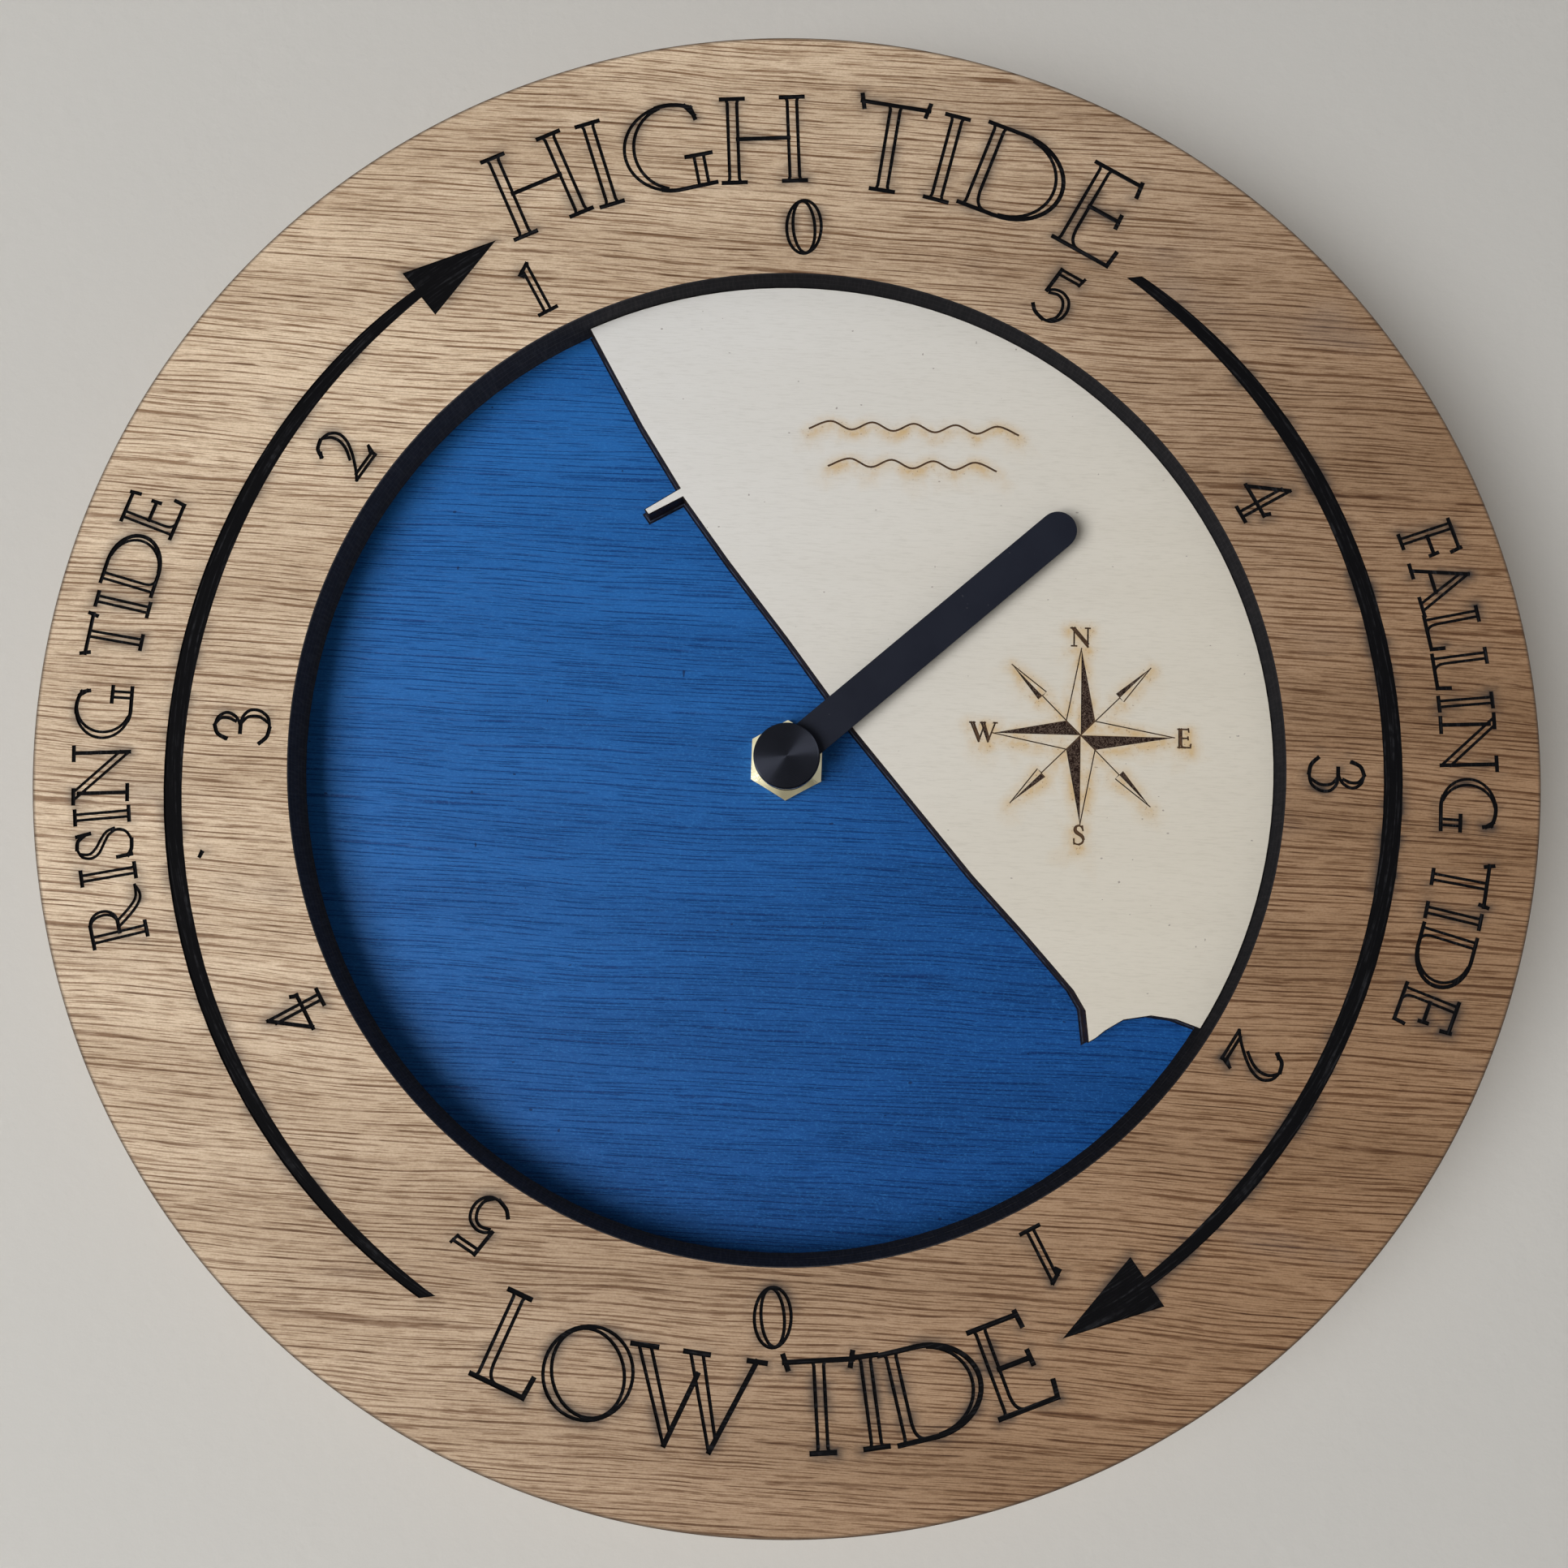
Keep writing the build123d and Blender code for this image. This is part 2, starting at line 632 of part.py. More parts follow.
def contact_plate(inner, outer, strip_end):
    """Contact on an end wall of the bay, with its strip up through the slot to the circuit board."""
    edges = sorted((inner, outer))
    half_width = contact_width / 2
    plate_start = battery_depth - half_width
    slab(*edges, battery_height - half_width, bay_ceiling, plate_start, plate_start + contact_width)
    slab(*edges, bay_ceiling, board_bottom, strip_back, plate_back)
    slab(*sorted((outer, strip_end)), room_floor, board_bottom, strip_back, plate_back)


def contact_pad(start, reach):
    """Round spring pad that stands from a contact towards the cell."""
    with BuildSketch(Plane.YZ.offset(start)) as pad_section:
        with Locations((-battery_depth, battery_height)):
            Circle(contact_pad_radius)
    extrude(pad_section.sketch, amount=reach)


pad_reach = contact_room - contact_thickness - end_gap

with BuildPart() as contact_negative:
    contact_inner = -(room_half_width - contact_thickness)
    contact_plate(contact_inner, -room_half_width, board_centre)
    contact_pad(contact_inner, pad_reach)

with BuildPart() as contact_positive:
    contact_inner = room_half_width - contact_thickness
    contact_plate(contact_inner, room_half_width, contact_inner)
    contact_pad(contact_inner, -pad_reach)

pieces = {
    "front_ring": front_ring, "spacer_ring": spacer_ring, "sea_disc": sea_disc, "land_panel": land_panel,
    "hand_blade": hand_blade, "hand_collet": hand_collet, "hub_cap": hub_cap,
    "threaded_bushing": threaded_bushing, "hex_nut": hex_nut, "rubber_washer": rubber_washer,
    "movement_case": movement_case, "back_cover": back_cover, "middle_plate": middle_plate,
    "tide_wheel": tide_wheel, "transfer_wheel": transfer_wheel, "cannon_pinion": cannon_pinion,
    "setting_knob": setting_knob, "setting_pinion": setting_pinion,
    "centre_wheel": centre_wheel, "clutch_washer": clutch_washer, "third_wheel": third_wheel,
    "second_wheel": second_wheel, "intermediate_wheel": intermediate_wheel,
    "rotor_pinion": rotor_pinion, "rotor_magnet": rotor_magnet,
    "stator_plate": stator_plate, "coil_core": coil_core, "coil_bobbin": coil_bobbin,
    "coil_winding": coil_winding, "circuit_board": circuit_board, "driver_chip": driver_chip,
    "quartz_crystal": quartz_crystal, "battery_cell": battery_cell,
    "contact_negative": contact_negative, "contact_positive": contact_positive}

for name, piece in pieces.items():
    piece.part.label = name
    export_step(piece.part, f"parts/{name}.step")
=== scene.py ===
"""Looks of the tide clock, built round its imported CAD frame. Sizes are in millimetres unless said.

X is right, Z up, and the dial faces -Y. A place on the dial is (x, z), a depth is a distance in front of the
wall, and a bearing is an angle on the dial, clockwise from the top.
"""

import math
import random
from itertools import product

import bpy
from mathutils import Matrix, Vector, kdtree
from mathutils.geometry import delaunay_2d_cdt


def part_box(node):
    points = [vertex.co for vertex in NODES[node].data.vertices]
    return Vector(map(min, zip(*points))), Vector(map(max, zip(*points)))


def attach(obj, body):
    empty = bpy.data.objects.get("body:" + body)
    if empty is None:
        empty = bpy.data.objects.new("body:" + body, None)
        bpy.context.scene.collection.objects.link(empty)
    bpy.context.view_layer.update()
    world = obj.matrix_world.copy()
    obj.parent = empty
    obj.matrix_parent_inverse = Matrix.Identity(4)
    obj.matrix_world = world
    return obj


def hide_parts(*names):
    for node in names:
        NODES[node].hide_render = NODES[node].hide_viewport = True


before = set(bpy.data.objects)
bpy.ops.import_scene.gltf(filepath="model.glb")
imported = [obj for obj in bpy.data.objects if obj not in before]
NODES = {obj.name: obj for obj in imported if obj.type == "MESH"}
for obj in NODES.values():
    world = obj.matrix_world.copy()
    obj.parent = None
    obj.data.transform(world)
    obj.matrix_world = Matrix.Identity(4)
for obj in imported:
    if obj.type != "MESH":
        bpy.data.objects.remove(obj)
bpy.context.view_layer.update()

MM = 0.001


def span(node):
    """Lowest and highest corner of a CAD node, in millimetres."""
    low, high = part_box(node)
    return low / MM, high / MM


# Sizes of the CAD frame
dial_radius = span("front_ring")[1].x
ring_face = -span("front_ring")[0].y
land_face = -span("land_panel")[0].y
sea_face = -span("sea_disc")[0].y
opening_radius = 82.7
land_fit_gap = 0.15

# Engraving
groove_depth = 0.25
soot_reach = 2.4
soot_fade = 2.2
scorch_drift = 0.7
fine_pitch = 0.55
coarse_pitch = 3.0
jitter_shares = (0.15, 0.85)
clear_share = 0.4
edge_bevel = 0.15
rim_segments = 360
merge_distance = 1e-6

# Where looks change: burn inside the rim, paint behind the sea's face, and the painted fill light on the
# burnt edges, across the dial
rim_burn_start = 0.7
rim_burn_end = 0.1
paint_start = 0.06
paint_end = 0.02
painted_fill_reach = 40

# Depth of each look's relief
veneer_relief = 0.03
birch_relief = 0.02
paint_relief = 0.06
edge_relief = 0.05
ring_char_relief = 0.06
land_char_relief = 0.05
seam_relief = 0.02
cap_relief = 0.001
hand_relief = 0.004
wall_relief = 0.10

# Long, short and hair-thin streaks along the grain: length, spacing, half width as a share of the spacing,
# length of a fade, and the fade's low and high end
VENEER_PORES = ((140, 1.05, 0.21, 13, 0.36, 0.58), (70, 0.60, 0.22, 5, 0.42, 0.62),
                (40, 0.36, 0.26, 2.6, 0.42, 0.62))
PAINT_CUTS = ((120, 0.95, 0.13, 13, 0.38, 0.58), (60, 0.58, 0.17, 6, 0.44, 0.62),
              (40, 0.36, 0.22, 3, 0.46, 0.64))


# Short names for shader nodes. A helper that is given a socket adds its node to the socket's own tree

def put(tree, kind, sockets=None, **settings):
    """A new node, with its settings and the values or links of its sockets."""
    node = tree.nodes.new(kind)
    for name, value in settings.items():
        setattr(node, name, value)
    for socket, value in (sockets or {}).items():
        if isinstance(value, bpy.types.NodeSocket):
            tree.links.new(value, node.inputs[socket])
        else:
            node.inputs[socket].default_value = value
    return node


def placed(tree, stretch=(1, 1, 1)):
    """The piece's own coordinates in millimetres, stretched along each axis."""
    own = put(tree, "ShaderNodeTexCoord").outputs["Object"]
    scale = [share / MM for share in stretch]
    return put(tree, "ShaderNodeMapping", {"Vector": own, "Scale": scale}).outputs[0]


def along(tree, axis):
    """One of the piece's own coordinates, in millimetres."""
    return put(tree, "ShaderNodeSeparateXYZ", {0: placed(tree)}).outputs[axis]


def stretched(vector, stretch):
    """Coordinates times one factor for each axis."""
    return put(vector.id_data, "ShaderNodeVectorMath", {0: vector, 1: stretch},
               operation="MULTIPLY").outputs[0]


def noise(vector, detail=2.0, roughness=0.5, distortion=0.0):
    """Cloudy value from 0 to 1."""
    return put(vector.id_data, "ShaderNodeTexNoise", {
        "Vector": vector, "Scale": 1.0, "Detail": detail, "Roughness": roughness,
        "Distortion": distortion}).outputs[0]


def clouds(tree, stretch, *settings):
    """Cloudy value from 0 to 1 over the piece, with a stretch along each axis."""
    return noise(placed(tree, stretch), *settings)


def fibrous(wood, lengthwise, crosswise, *settings):
    """Cloudy value from 0 to 1, drawn out along the grain."""
    return noise(stretched(wood, (lengthwise, 1, crosswise)), *settings)


def sums(operation, first, second=0.0, third=0.0, clamp=False):
    """One step of arithmetic."""
    return put(first.id_data, "ShaderNodeMath", {0: first, 1: second, 2: third}, operation=operation,
               use_clamp=clamp).outputs[0]


def times(first, second, clamp=False):
    """Product of two values."""
    return sums("MULTIPLY", first, second, clamp=clamp)


def from_half(value):
    """How far a value is from one half."""
    return sums("ABSOLUTE", sums("SUBTRACT", value, 0.5))


def between(value, low, high, start=0.0, end=1.0):
    """Value taken from low..high to start..end, smoothly and held at both ends."""
    return put(value.id_data, "ShaderNodeMapRange", {
        "Value": value, "From Min": low, "From Max": high, "To Min": start, "To Max": end},
        interpolation_type="SMOOTHSTEP").outputs[0]


def blended(share, first, second, mode="MIX"):
    """Two colours mixed by a share: a socket, or else a number with a socket as the first colour."""
    tree = (first if isinstance(share, float) else share).id_data
    colours = [(*colour, 1) if isinstance(colour, (tuple, list)) else colour for colour in (first, second)]
    return put(tree, "ShaderNodeMix", {0: share, 6: colours[0], 7: colours[1]}, data_type="RGBA",
               blend_type=mode).outputs[2]


def covered(base, colour, value, low, high, share=1.0, mode="MIX"):
    """A base under a colour: none of it where a value is low, and a share of it where the value is high."""
    return blended(between(value, low, high, 0, share), base, colour, mode)


def dyed(*covering):
    """A base that is darkened by a colour in the same way."""
    return covered(*covering, mode="MULTIPLY")


def soot_of(tree):
    """Soot that the mesh carries beside its cuts, from 0 to 1."""
    return put(tree, "ShaderNodeAttribute", attribute_name="soot").outputs["Fac"]


# Materials by name
LOOKS = {}


def material(name):
    """The node tree of a new material."""
    made = bpy.data.materials.new(name)
    made.use_nodes = True
    LOOKS[name] = made
    return made.node_tree


def finish_shader(colour, roughness, height, depth, specular=0.5, metallic=0.0):
    """Gives a material's shader its colour, gloss and relief, with the relief's depth in millimetres."""
    tree = colour.id_data
    bump = {"Height": height, "Distance": depth * MM, "Strength": 1.0}
    relief = put(tree, "ShaderNodeBump", bump).outputs[0]
    shader = tree.nodes["Principled BSDF"]
    for socket, value in (("Base Color", colour), ("Roughness", roughness), ("Normal", relief),
                          ("Specular IOR Level", specular), ("Metallic", metallic)):
        if isinstance(value, bpy.types.NodeSocket):
            tree.links.new(value, shader.inputs[socket])
        else:
            shader.inputs[socket].default_value = value


# Woods

def grain(tree, wander, fall=0.0):
    """The piece's coordinates with the slow wander of grain along X, which falls by a share of the way."""
    drift = clouds(tree, (0.011, 0, 0.03))
    ripple = clouds(tree, (0.05, 0, 0.09), 1.0)
    rise = sums("MULTIPLY_ADD", drift, wander * 4, times(ripple, wander * 0.6))
    rise = sums("MULTIPLY_ADD", along(tree, 0), fall, rise)
    shift = put(tree, "ShaderNodeCombineXYZ", {2: rise}).outputs[0]
    return put(tree, "ShaderNodeVectorMath", {0: placed(tree), 1: shift}, operation="ADD").outputs[0]


def radius_of(tree):
    """Distance from the dial's axis, in millimetres."""
    flat = stretched(placed(tree), (1, 0, 1))
    return put(tree, "ShaderNodeVectorMath", {0: flat}, operation="LENGTH").outputs["Value"]


def streaks(wood, length, spacing, width, fade_length, fade_low, fade_high):
    """Mask of thin lines along the grain, unevenly spaced, that fade in and out."""
    drift = fibrous(wood, 1 / length, 0.3 / spacing)
    height = put(wood.id_data, "ShaderNodeSeparateXYZ", {0: wood}).outputs[2]
    phase = sums("MULTIPLY_ADD", height, 1 / spacing, times(drift, 3.5))
    away = from_half(sums("FRACT", phase))
    fade = fibrous(wood, 1 / fade_length, 0.9 / spacing, 3.0, 0.6)
    return times(between(away, width, width * 0.35), between(fade, fade_low, fade_high))


def slope(tree, tilt, reach):
    """Value from 0 to 1 across the dial, along a direction given by its tilt from X toward Z."""
    mixed = sums("MULTIPLY_ADD", along(tree, 2), tilt, along(tree, 0))
    return between(mixed, -reach, reach)


def stained_wood():
    """Stained veneer: tan, with long thin pores, soot beside the engraving and a burnt rim."""
    tree = material("stained_wood")
    wood = grain(tree, wander=1.2, fall=0.035)
    # Lighter toward the upper left and darker, browner toward the lower right: partly the stain's own change,
    # partly painted shade where less light falls
    side = slope(tree, -0.45, dial_radius)
    tan = blended(side, (0.82, 0.66, 0.49), (0.36, 0.222, 0.129))
    brown = blended(side, (0.60, 0.455, 0.32), (0.262, 0.155, 0.085))
    bands = fibrous(wood, 0.008, 0.075)
    base = covered(tan, brown, bands, 0.32, 0.72, 0.85)
    flecks = fibrous(wood, 0.035, 0.42, 3.0, 0.6)
    base = dyed(base, (0.66, 0.57, 0.49), flecks, 0.54, 0.80, 0.45)
    fibres = fibrous(wood, 0.13, 4.2, 3.0, 0.65)
    base = dyed(base, (0.74, 0.69, 0.63), fibres, 0.40, 0.70, 0.55)
    specks = clouds(tree, (2.6, 1, 3.6), 2.0, 0.6)
    base = dyed(base, (0.80, 0.76, 0.70), specks, 0.38, 0.66, 0.5)
    long_pores, short_pores, hair_pores = (streaks(wood, *sizes) for sizes in VENEER_PORES)
    base = blended(times(long_pores, 0.95), base, (0.36, 0.27, 0.205), "MULTIPLY")
    base = blended(times(short_pores, 0.85), base, (0.44, 0.35, 0.28), "MULTIPLY")
    base = blended(times(hair_pores, 0.7), base, (0.52, 0.44, 0.36), "MULTIPLY")
    smoke = between(clouds(tree, (0.10, 1, 0.16), 3.0, 0.6), 0.42, 0.66, 0.04, 0.85)
    smoke = times(smoke, between(side, 0.1, 0.9, 0.8, 1.15))
    base = blended(times(soot_of(tree), smoke, clamp=True), base, (0.045, 0.035, 0.030))
    haze = clouds(tree, (0.035, 1, 0.06))
    base = covered(base, (0.16, 0.13, 0.12), haze, 0.62, 0.80, 0.25)
    base = covered(base, (0.05, 0.034, 0.024), radius_of(tree), dial_radius - rim_burn_start,
                   dial_radius - rim_burn_end, 0.8)
    relief = sums("MULTIPLY_ADD", long_pores, -1.0, times(fibres, 0.3))
    relief = sums("MULTIPLY_ADD", short_pores, -0.7, relief)
    rough = between(bands, 0.3, 0.7, 0.52, 0.64)
    finish_shader(base, rough, relief, veneer_relief, specular=0.2)


def pale_wood():
    """Whitened birch with short faint fibres, and a warm scorch round the engraving."""
    tree = material("pale_wood")
    wood = grain(tree, wander=0.6)
    # Painted shade: the birch is darker and warmer toward the lower right, where less light falls
    side = slope(tree, -0.5, opening_radius)
    base = blended(side, (0.695, 0.685, 0.665), (0.665, 0.62, 0.535))
    base = dyed(base, (0.93, 0.92, 0.90), fibrous(wood, 0.015, 0.10), 0.35, 0.7, 0.3)
    fibres = fibrous(wood, 0.35, 4.0, 3.0, 0.7)
    base = dyed(base, (0.80, 0.79, 0.77), fibres, 0.45, 0.75, 0.45)
    specks = clouds(tree, (1.3, 1, 1.3), 0.0)
    base = covered(base, (0.25, 0.21, 0.19), specks, 0.865, 0.88, 0.7)
    smoke = between(clouds(tree, (0.30, 1, 0.30), 3.0, 0.6), 0.34, 0.66, 0.3, 1.0)
    scorch = times(sums("POWER", soot_of(tree), 0.72), smoke, clamp=True)
    base = blended(times(scorch, 0.9), base, (0.57, 0.385, 0.17))
    dots = times(between(clouds(tree, (2.6, 1, 2.6), 1.0), 0.66, 0.72), scorch)
    base = blended(times(dots, 0.7), base, (0.20, 0.10, 0.05))
    rough = between(fibres, 0.3, 0.7, 0.5, 0.62)
    finish_shader(base, rough, fibres, birch_relief, specular=0.2)


def plywood_colour(tree):
    """Bare birch plywood: fine grain and darker bands."""
    wood = grain(tree, wander=1.0)
    bands = fibrous(wood, 0.012, 0.25, 3.0)
    fibres = fibrous(wood, 0.06, 3.0, 2.0, 0.6)
    base = covered((0.56, 0.41, 0.26), (0.46, 0.31, 0.185), bands, 0.3, 0.7)
    return covered(base, (0.30, 0.185, 0.10), fibres, 0.4, 0.75, 0.3)


def blue_paint():
    """Satin blue paint over a grooved plywood face; the disc's rim and back stay bare plywood."""
    tree = material("blue_paint")
    wood = grain(tree, wander=1.0, fall=0.02)
    # Painted sheen and shade: the blue is lighter toward the upper left, where the satin paint reflects the
    # window, and darker toward the lower right
    side = slope(tree, -0.6, opening_radius)
    light = blended(side, (0.016, 0.124, 0.395), (0.0075, 0.070, 0.262))
    deep = blended(side, (0.011, 0.100, 0.335), (0.0055, 0.057, 0.215))
    paint = covered(light, deep, fibrous(wood, 0.02, 0.12), 0.3, 0.7)
    long_cuts, short_cuts, hair_cuts = (streaks(wood, *sizes) for sizes in PAINT_CUTS)
    cuts = sums("MAXIMUM", long_cuts, times(short_cuts, 0.8))
    cuts = sums("MAXIMUM", cuts, times(hair_cuts, 0.3))
    paint = blended(times(cuts, 0.85), paint, (0.14, 0.29, 0.42), "MULTIPLY")
    fuzz = fibrous(wood, 2.0, 3.6, 3.0, 0.75)
    paint = covered(paint, (0.036, 0.205, 0.54), fuzz, 0.48, 0.70, 0.34)
    specks = clouds(tree, (0.9, 1, 0.9), 0.0)
    paint = covered(paint, (0.004, 0.02, 0.08), specks, 0.87, 0.88, 0.8)
    front = between(times(along(tree, 1), -1.0), sea_face - paint_start, sea_face - paint_end)
    paint = blended(front, plywood_colour(tree), paint)
    relief = sums("MULTIPLY_ADD", cuts, -1.0, times(fuzz, 0.35))
    rough = between(front, 0, 1, 0.65, 0.46)
    finish_shader(paint, rough, relief, paint_relief, specular=0.12)


def burnt_edge(name, dark, light, ply_pitch, specular, painted_lift):
    """Laser-burnt edge: fine upright streaks and faint plies, painted lighter toward the dial's lower left,
    where it stands in shadow: painted fill light.
    """
    tree = material(name)
    depth = times(along(tree, 1), -1.0)
    waver = clouds(tree, (0.4, 0.4, 0.4))
    layers = sums("FRACT", sums("MULTIPLY_ADD", depth, 1 / ply_pitch, times(waver, 0.3)))
    stripes = clouds(tree, (2.5, 0.25, 2.5), 3.0, 0.6)
    base = covered(dark, light, stripes, 0.40, 0.75, 0.7)
    base = covered(base, light, layers, 0.84, 0.95, 0.7)
    # Painted fill light: the colour is lifted toward the lower left, where the edge is in shadow
    painted_fill_tint = blended(slope(tree, 0.46, painted_fill_reach), (painted_lift, painted_lift, painted_lift), (1, 1, 1))
    base = blended(1.0, base, painted_fill_tint, "MULTIPLY")
    relief = sums("MULTIPLY_ADD", layers, 0.4, stripes)
    rough = between(stripes, 0.3, 0.7, 0.42, 0.6)
    finish_shader(base, rough, relief, edge_relief, specular=specular)


def ring_char():
    """Charred floor of the ring's cuts, with the fine lines that the beam left along the arrows."""
    tree = material("ring_char")
    own = put(tree, "ShaderNodeSeparateXYZ", {0: placed(tree)})
    turn = sums("ARCTAN2", own.outputs[0], own.outputs[2])
    lane = put(tree, "ShaderNodeCombineXYZ", {
        0: times(radius_of(tree), 2.4), 1: times(turn, 9.0)}).outputs[0]
    lines = noise(lane, 3.0, 0.6)
    ash = clouds(tree, (0.9, 1, 0.9))
    share = times(between(lines, 0.50, 0.68), between(ash, 0.35, 0.62, 0.2, 1.0))
    base = blended(times(share, 0.8), (0.0045, 0.0045, 0.0052), (0.024, 0.024, 0.027))
    finish_shader(base, 0.8, lines, ring_char_relief, specular=0.03)


def land_char():
    """Dark brown floor of the land's cuts, with threads of paler wood."""
    tree = material("land_char")
    threads = clouds(tree, (1.6, 1, 1.6), 3.0, 0.7, 1.2)
    away = from_half(threads)
    base = covered((0.018, 0.010, 0.008), (0.24, 0.17, 0.13), away, 0.035, 0.01, 0.6)
    base = covered(base, (0.11, 0.061, 0.034), soot_of(tree), 0.85, 1.0, 0.9)
    finish_shader(base, 0.75, threads, land_char_relief, specular=0.05)


def scored_line():
    """Sooty score in the blue paint, beside the land."""
    tree = material("scored_line")
    dust = clouds(tree, (0.8, 1, 0.8), 3.0, 0.6)
    base = covered((0.004, 0.005, 0.009), (0.012, 0.013, 0.024), dust, 0.35, 0.65)
    finish_shader(base, 0.7, dust, seam_relief, specular=0.05)


def glue_bead():
    """Thin glossy bead of dried glue, tinted by soot and paint."""
    tree = material("glue_bead")
    cloud = clouds(tree, (0.35, 1, 0.35), 3.0, 0.6)
    base = covered((0.006, 0.007, 0.012), (0.035, 0.045, 0.075), cloud, 0.35, 0.65)
    rough = between(cloud, 0.3, 0.7, 0.45, 0.6)
    finish_shader(base, rough, cloud, seam_relief, specular=0.08)


# Metals, plastics and rubber

def plain_finish(name, colour, roughness, metal=0.0, vary=0.12, size=1.2, depth=0.01, stretch=(1, 1, 1)):
    """A moulded or machined finish: its colour, gloss and surface vary a little."""
    tree = material(name)
    mottle = clouds(tree, (0.15, 0.15, 0.15))
    texture = clouds(tree, [size * share for share in stretch], 2.0, 0.6)
    light = [min(1.0, value * (1 + vary) + 0.004) for value in colour]
    dark = [value * (1 - vary) for value in colour]
    base = covered(dark, light, mottle, 0.3, 0.7)
    rough = between(texture, 0.25, 0.75, max(0.02, roughness - 0.06), min(1.0, roughness + 0.06))
    finish_shader(base, rough, texture, depth, metallic=metal)


def spun_black():
    """Black anodised metal, for a face that is turned with fine rings."""
    tree = material("spun_black")
    mottle = clouds(tree, (0.5, 0.5, 0.5))
    texture = clouds(tree, (7, 7, 7))
    base = covered((0.0153, 0.01665, 0.0225), (0.017, 0.0185, 0.025), mottle, 0.3, 0.7)
    rough = between(texture, 0.3, 0.7, 0.19, 0.23)
    finish_shader(base, rough, texture, cap_relief, metallic=1.0)


def charcoal_hand():
    """Matte blue-black acrylic with fine dust."""
    tree = material("charcoal_hand")
    mottle = clouds(tree, (0.12, 0.12, 0.12), 3.0)
    texture = clouds(tree, (6, 6, 6))
    dust = clouds(tree, (1.1, 1.1, 1.1), 0.0)
    base = covered((0.0090, 0.0108, 0.0190), (0.0120, 0.0142, 0.0235), mottle, 0.3, 0.7)
    base = covered(base, (0.10, 0.10, 0.11), dust, 0.86, 0.88, 0.3)
    rough = between(texture, 0.3, 0.7, 0.55, 0.65)
    finish_shader(base, rough, texture, hand_relief, specular=0.10)


for look in (stained_wood, pale_wood, blue_paint, scored_line, glue_bead, ring_char, land_char,
             charcoal_hand, spun_black):
    look()

# Burnt edges: dark and light colour, pitch of the plies, gloss, and the painted fill light: how much lighter
# the edge is painted toward the dial's lower left, where it stands in shadow
EDGES = {
    "rim_edge": ((0.06, 0.038, 0.024), (0.17, 0.11, 0.07), 1.25, 0.2, 1.0),
    "inner_edge": ((0.017, 0.0170, 0.0190), (0.029, 0.0275, 0.030), 1.6, 0.0, 3.0),
    "coast_edge": ((0.010, 0.0075, 0.0075), (0.045, 0.028, 0.022), 1.3, 0.06, 1.0)}
for name, settings in EDGES.items():
    burnt_edge(name, *settings)

# Plain finishes: colour, roughness, metal, how much the colour varies, size, depth and stretch of the texture
FINISHES = {
    "brass": ((0.80, 0.73, 0.50), 0.16, 1.0, 0.30, 3.0, 0.006),
    "rubber": ((0.015, 0.015, 0.015), 0.75, 0.0, 0.25, 2.5),
    "black_plastic": ((0.013, 0.013, 0.014), 0.48, 0.0, 0.12, 7.0, 0.012),
    "knob_plastic": ((0.02, 0.02, 0.021), 0.35, 0.0, 0.12, 5.0, 0.008),
    "white_plastic": ((0.72, 0.70, 0.66), 0.4, 0.0, 0.05),
    "steel": ((0.62, 0.62, 0.63), 0.28, 1.0, 0.08, 4.0, 0.003, (1, 0.1, 1)),
    "magnet": ((0.10, 0.10, 0.11), 0.5, 0.8),
    "copper": ((0.62, 0.26, 0.12), 0.3, 1.0, 0.15, 6.0, 0.02, (2, 0.1, 0.1)),
    "board_green": ((0.02, 0.16, 0.07), 0.35, 0.0, 0.15),
    "chip_black": ((0.012, 0.012, 0.012), 0.3),
    "cell_sleeve": ((0.09, 0.10, 0.12), 0.25, 0.4, 0.06),
    "spring_steel": ((0.70, 0.69, 0.66), 0.25, 1.0, 0.06, 3.0, 0.003)}
for name, settings in FINISHES.items():
    plain_finish(name, *settings)

# CAD nodes that the scene keeps, by their look
LOOK_NODES = {
    "inner_edge": ["spacer_ring"], "blue_paint": ["sea_disc"], "charcoal_hand": ["hand_blade"],
    "brass": ["hand_collet", "threaded_bushing"], "rubber": ["rubber_washer"],
    "black_plastic": ["movement_case", "back_cover", "middle_plate"], "knob_plastic": ["setting_knob"],
    "white_plastic": ["setting_pinion", "tide_wheel", "transfer_wheel", "centre_wheel", "third_wheel",
                      "second_wheel", "intermediate_wheel", "rotor_pinion", "coil_bobbin"],
    "steel": ["cannon_pinion", "clutch_washer", "stator_plate", "coil_core", "quartz_crystal"],
    "magnet": ["rotor_magnet"], "copper": ["coil_winding"], "board_green": ["circuit_board"],
    "chip_black": ["driver_chip"], "cell_sleeve": ["battery_cell"],
    "spring_steel": ["contact_negative", "contact_positive"]}

for look, nodes in LOOK_NODES.items():
    for node in nodes:
        NODES[node].data.materials.clear()
        NODES[node].data.materials.append(LOOKS[look])


# Lettering: each glyph is its width, its outlines and its single strokes, in heights of a capital

STEM = 0.11
SERIF = 0.07
FLARE = 0.016
FLARE_RISE = 0.05


def bow(x, y, width, height, start, end, tilt=0.0, steps=22):
    """Points on an ellipse, from one angle to another, turned by a tilt."""
    turn = math.radians(tilt)
    points = []
    for step in range(steps + 1):
        angle = math.radians(start + (end - start) * step / steps)
        across, up = width / 2 * math.cos(angle), height / 2 * math.sin(angle)
        points.append((x + across * math.cos(turn) - up * math.sin(turn),
                       y + across * math.sin(turn) + up * math.cos(turn)))
    return points


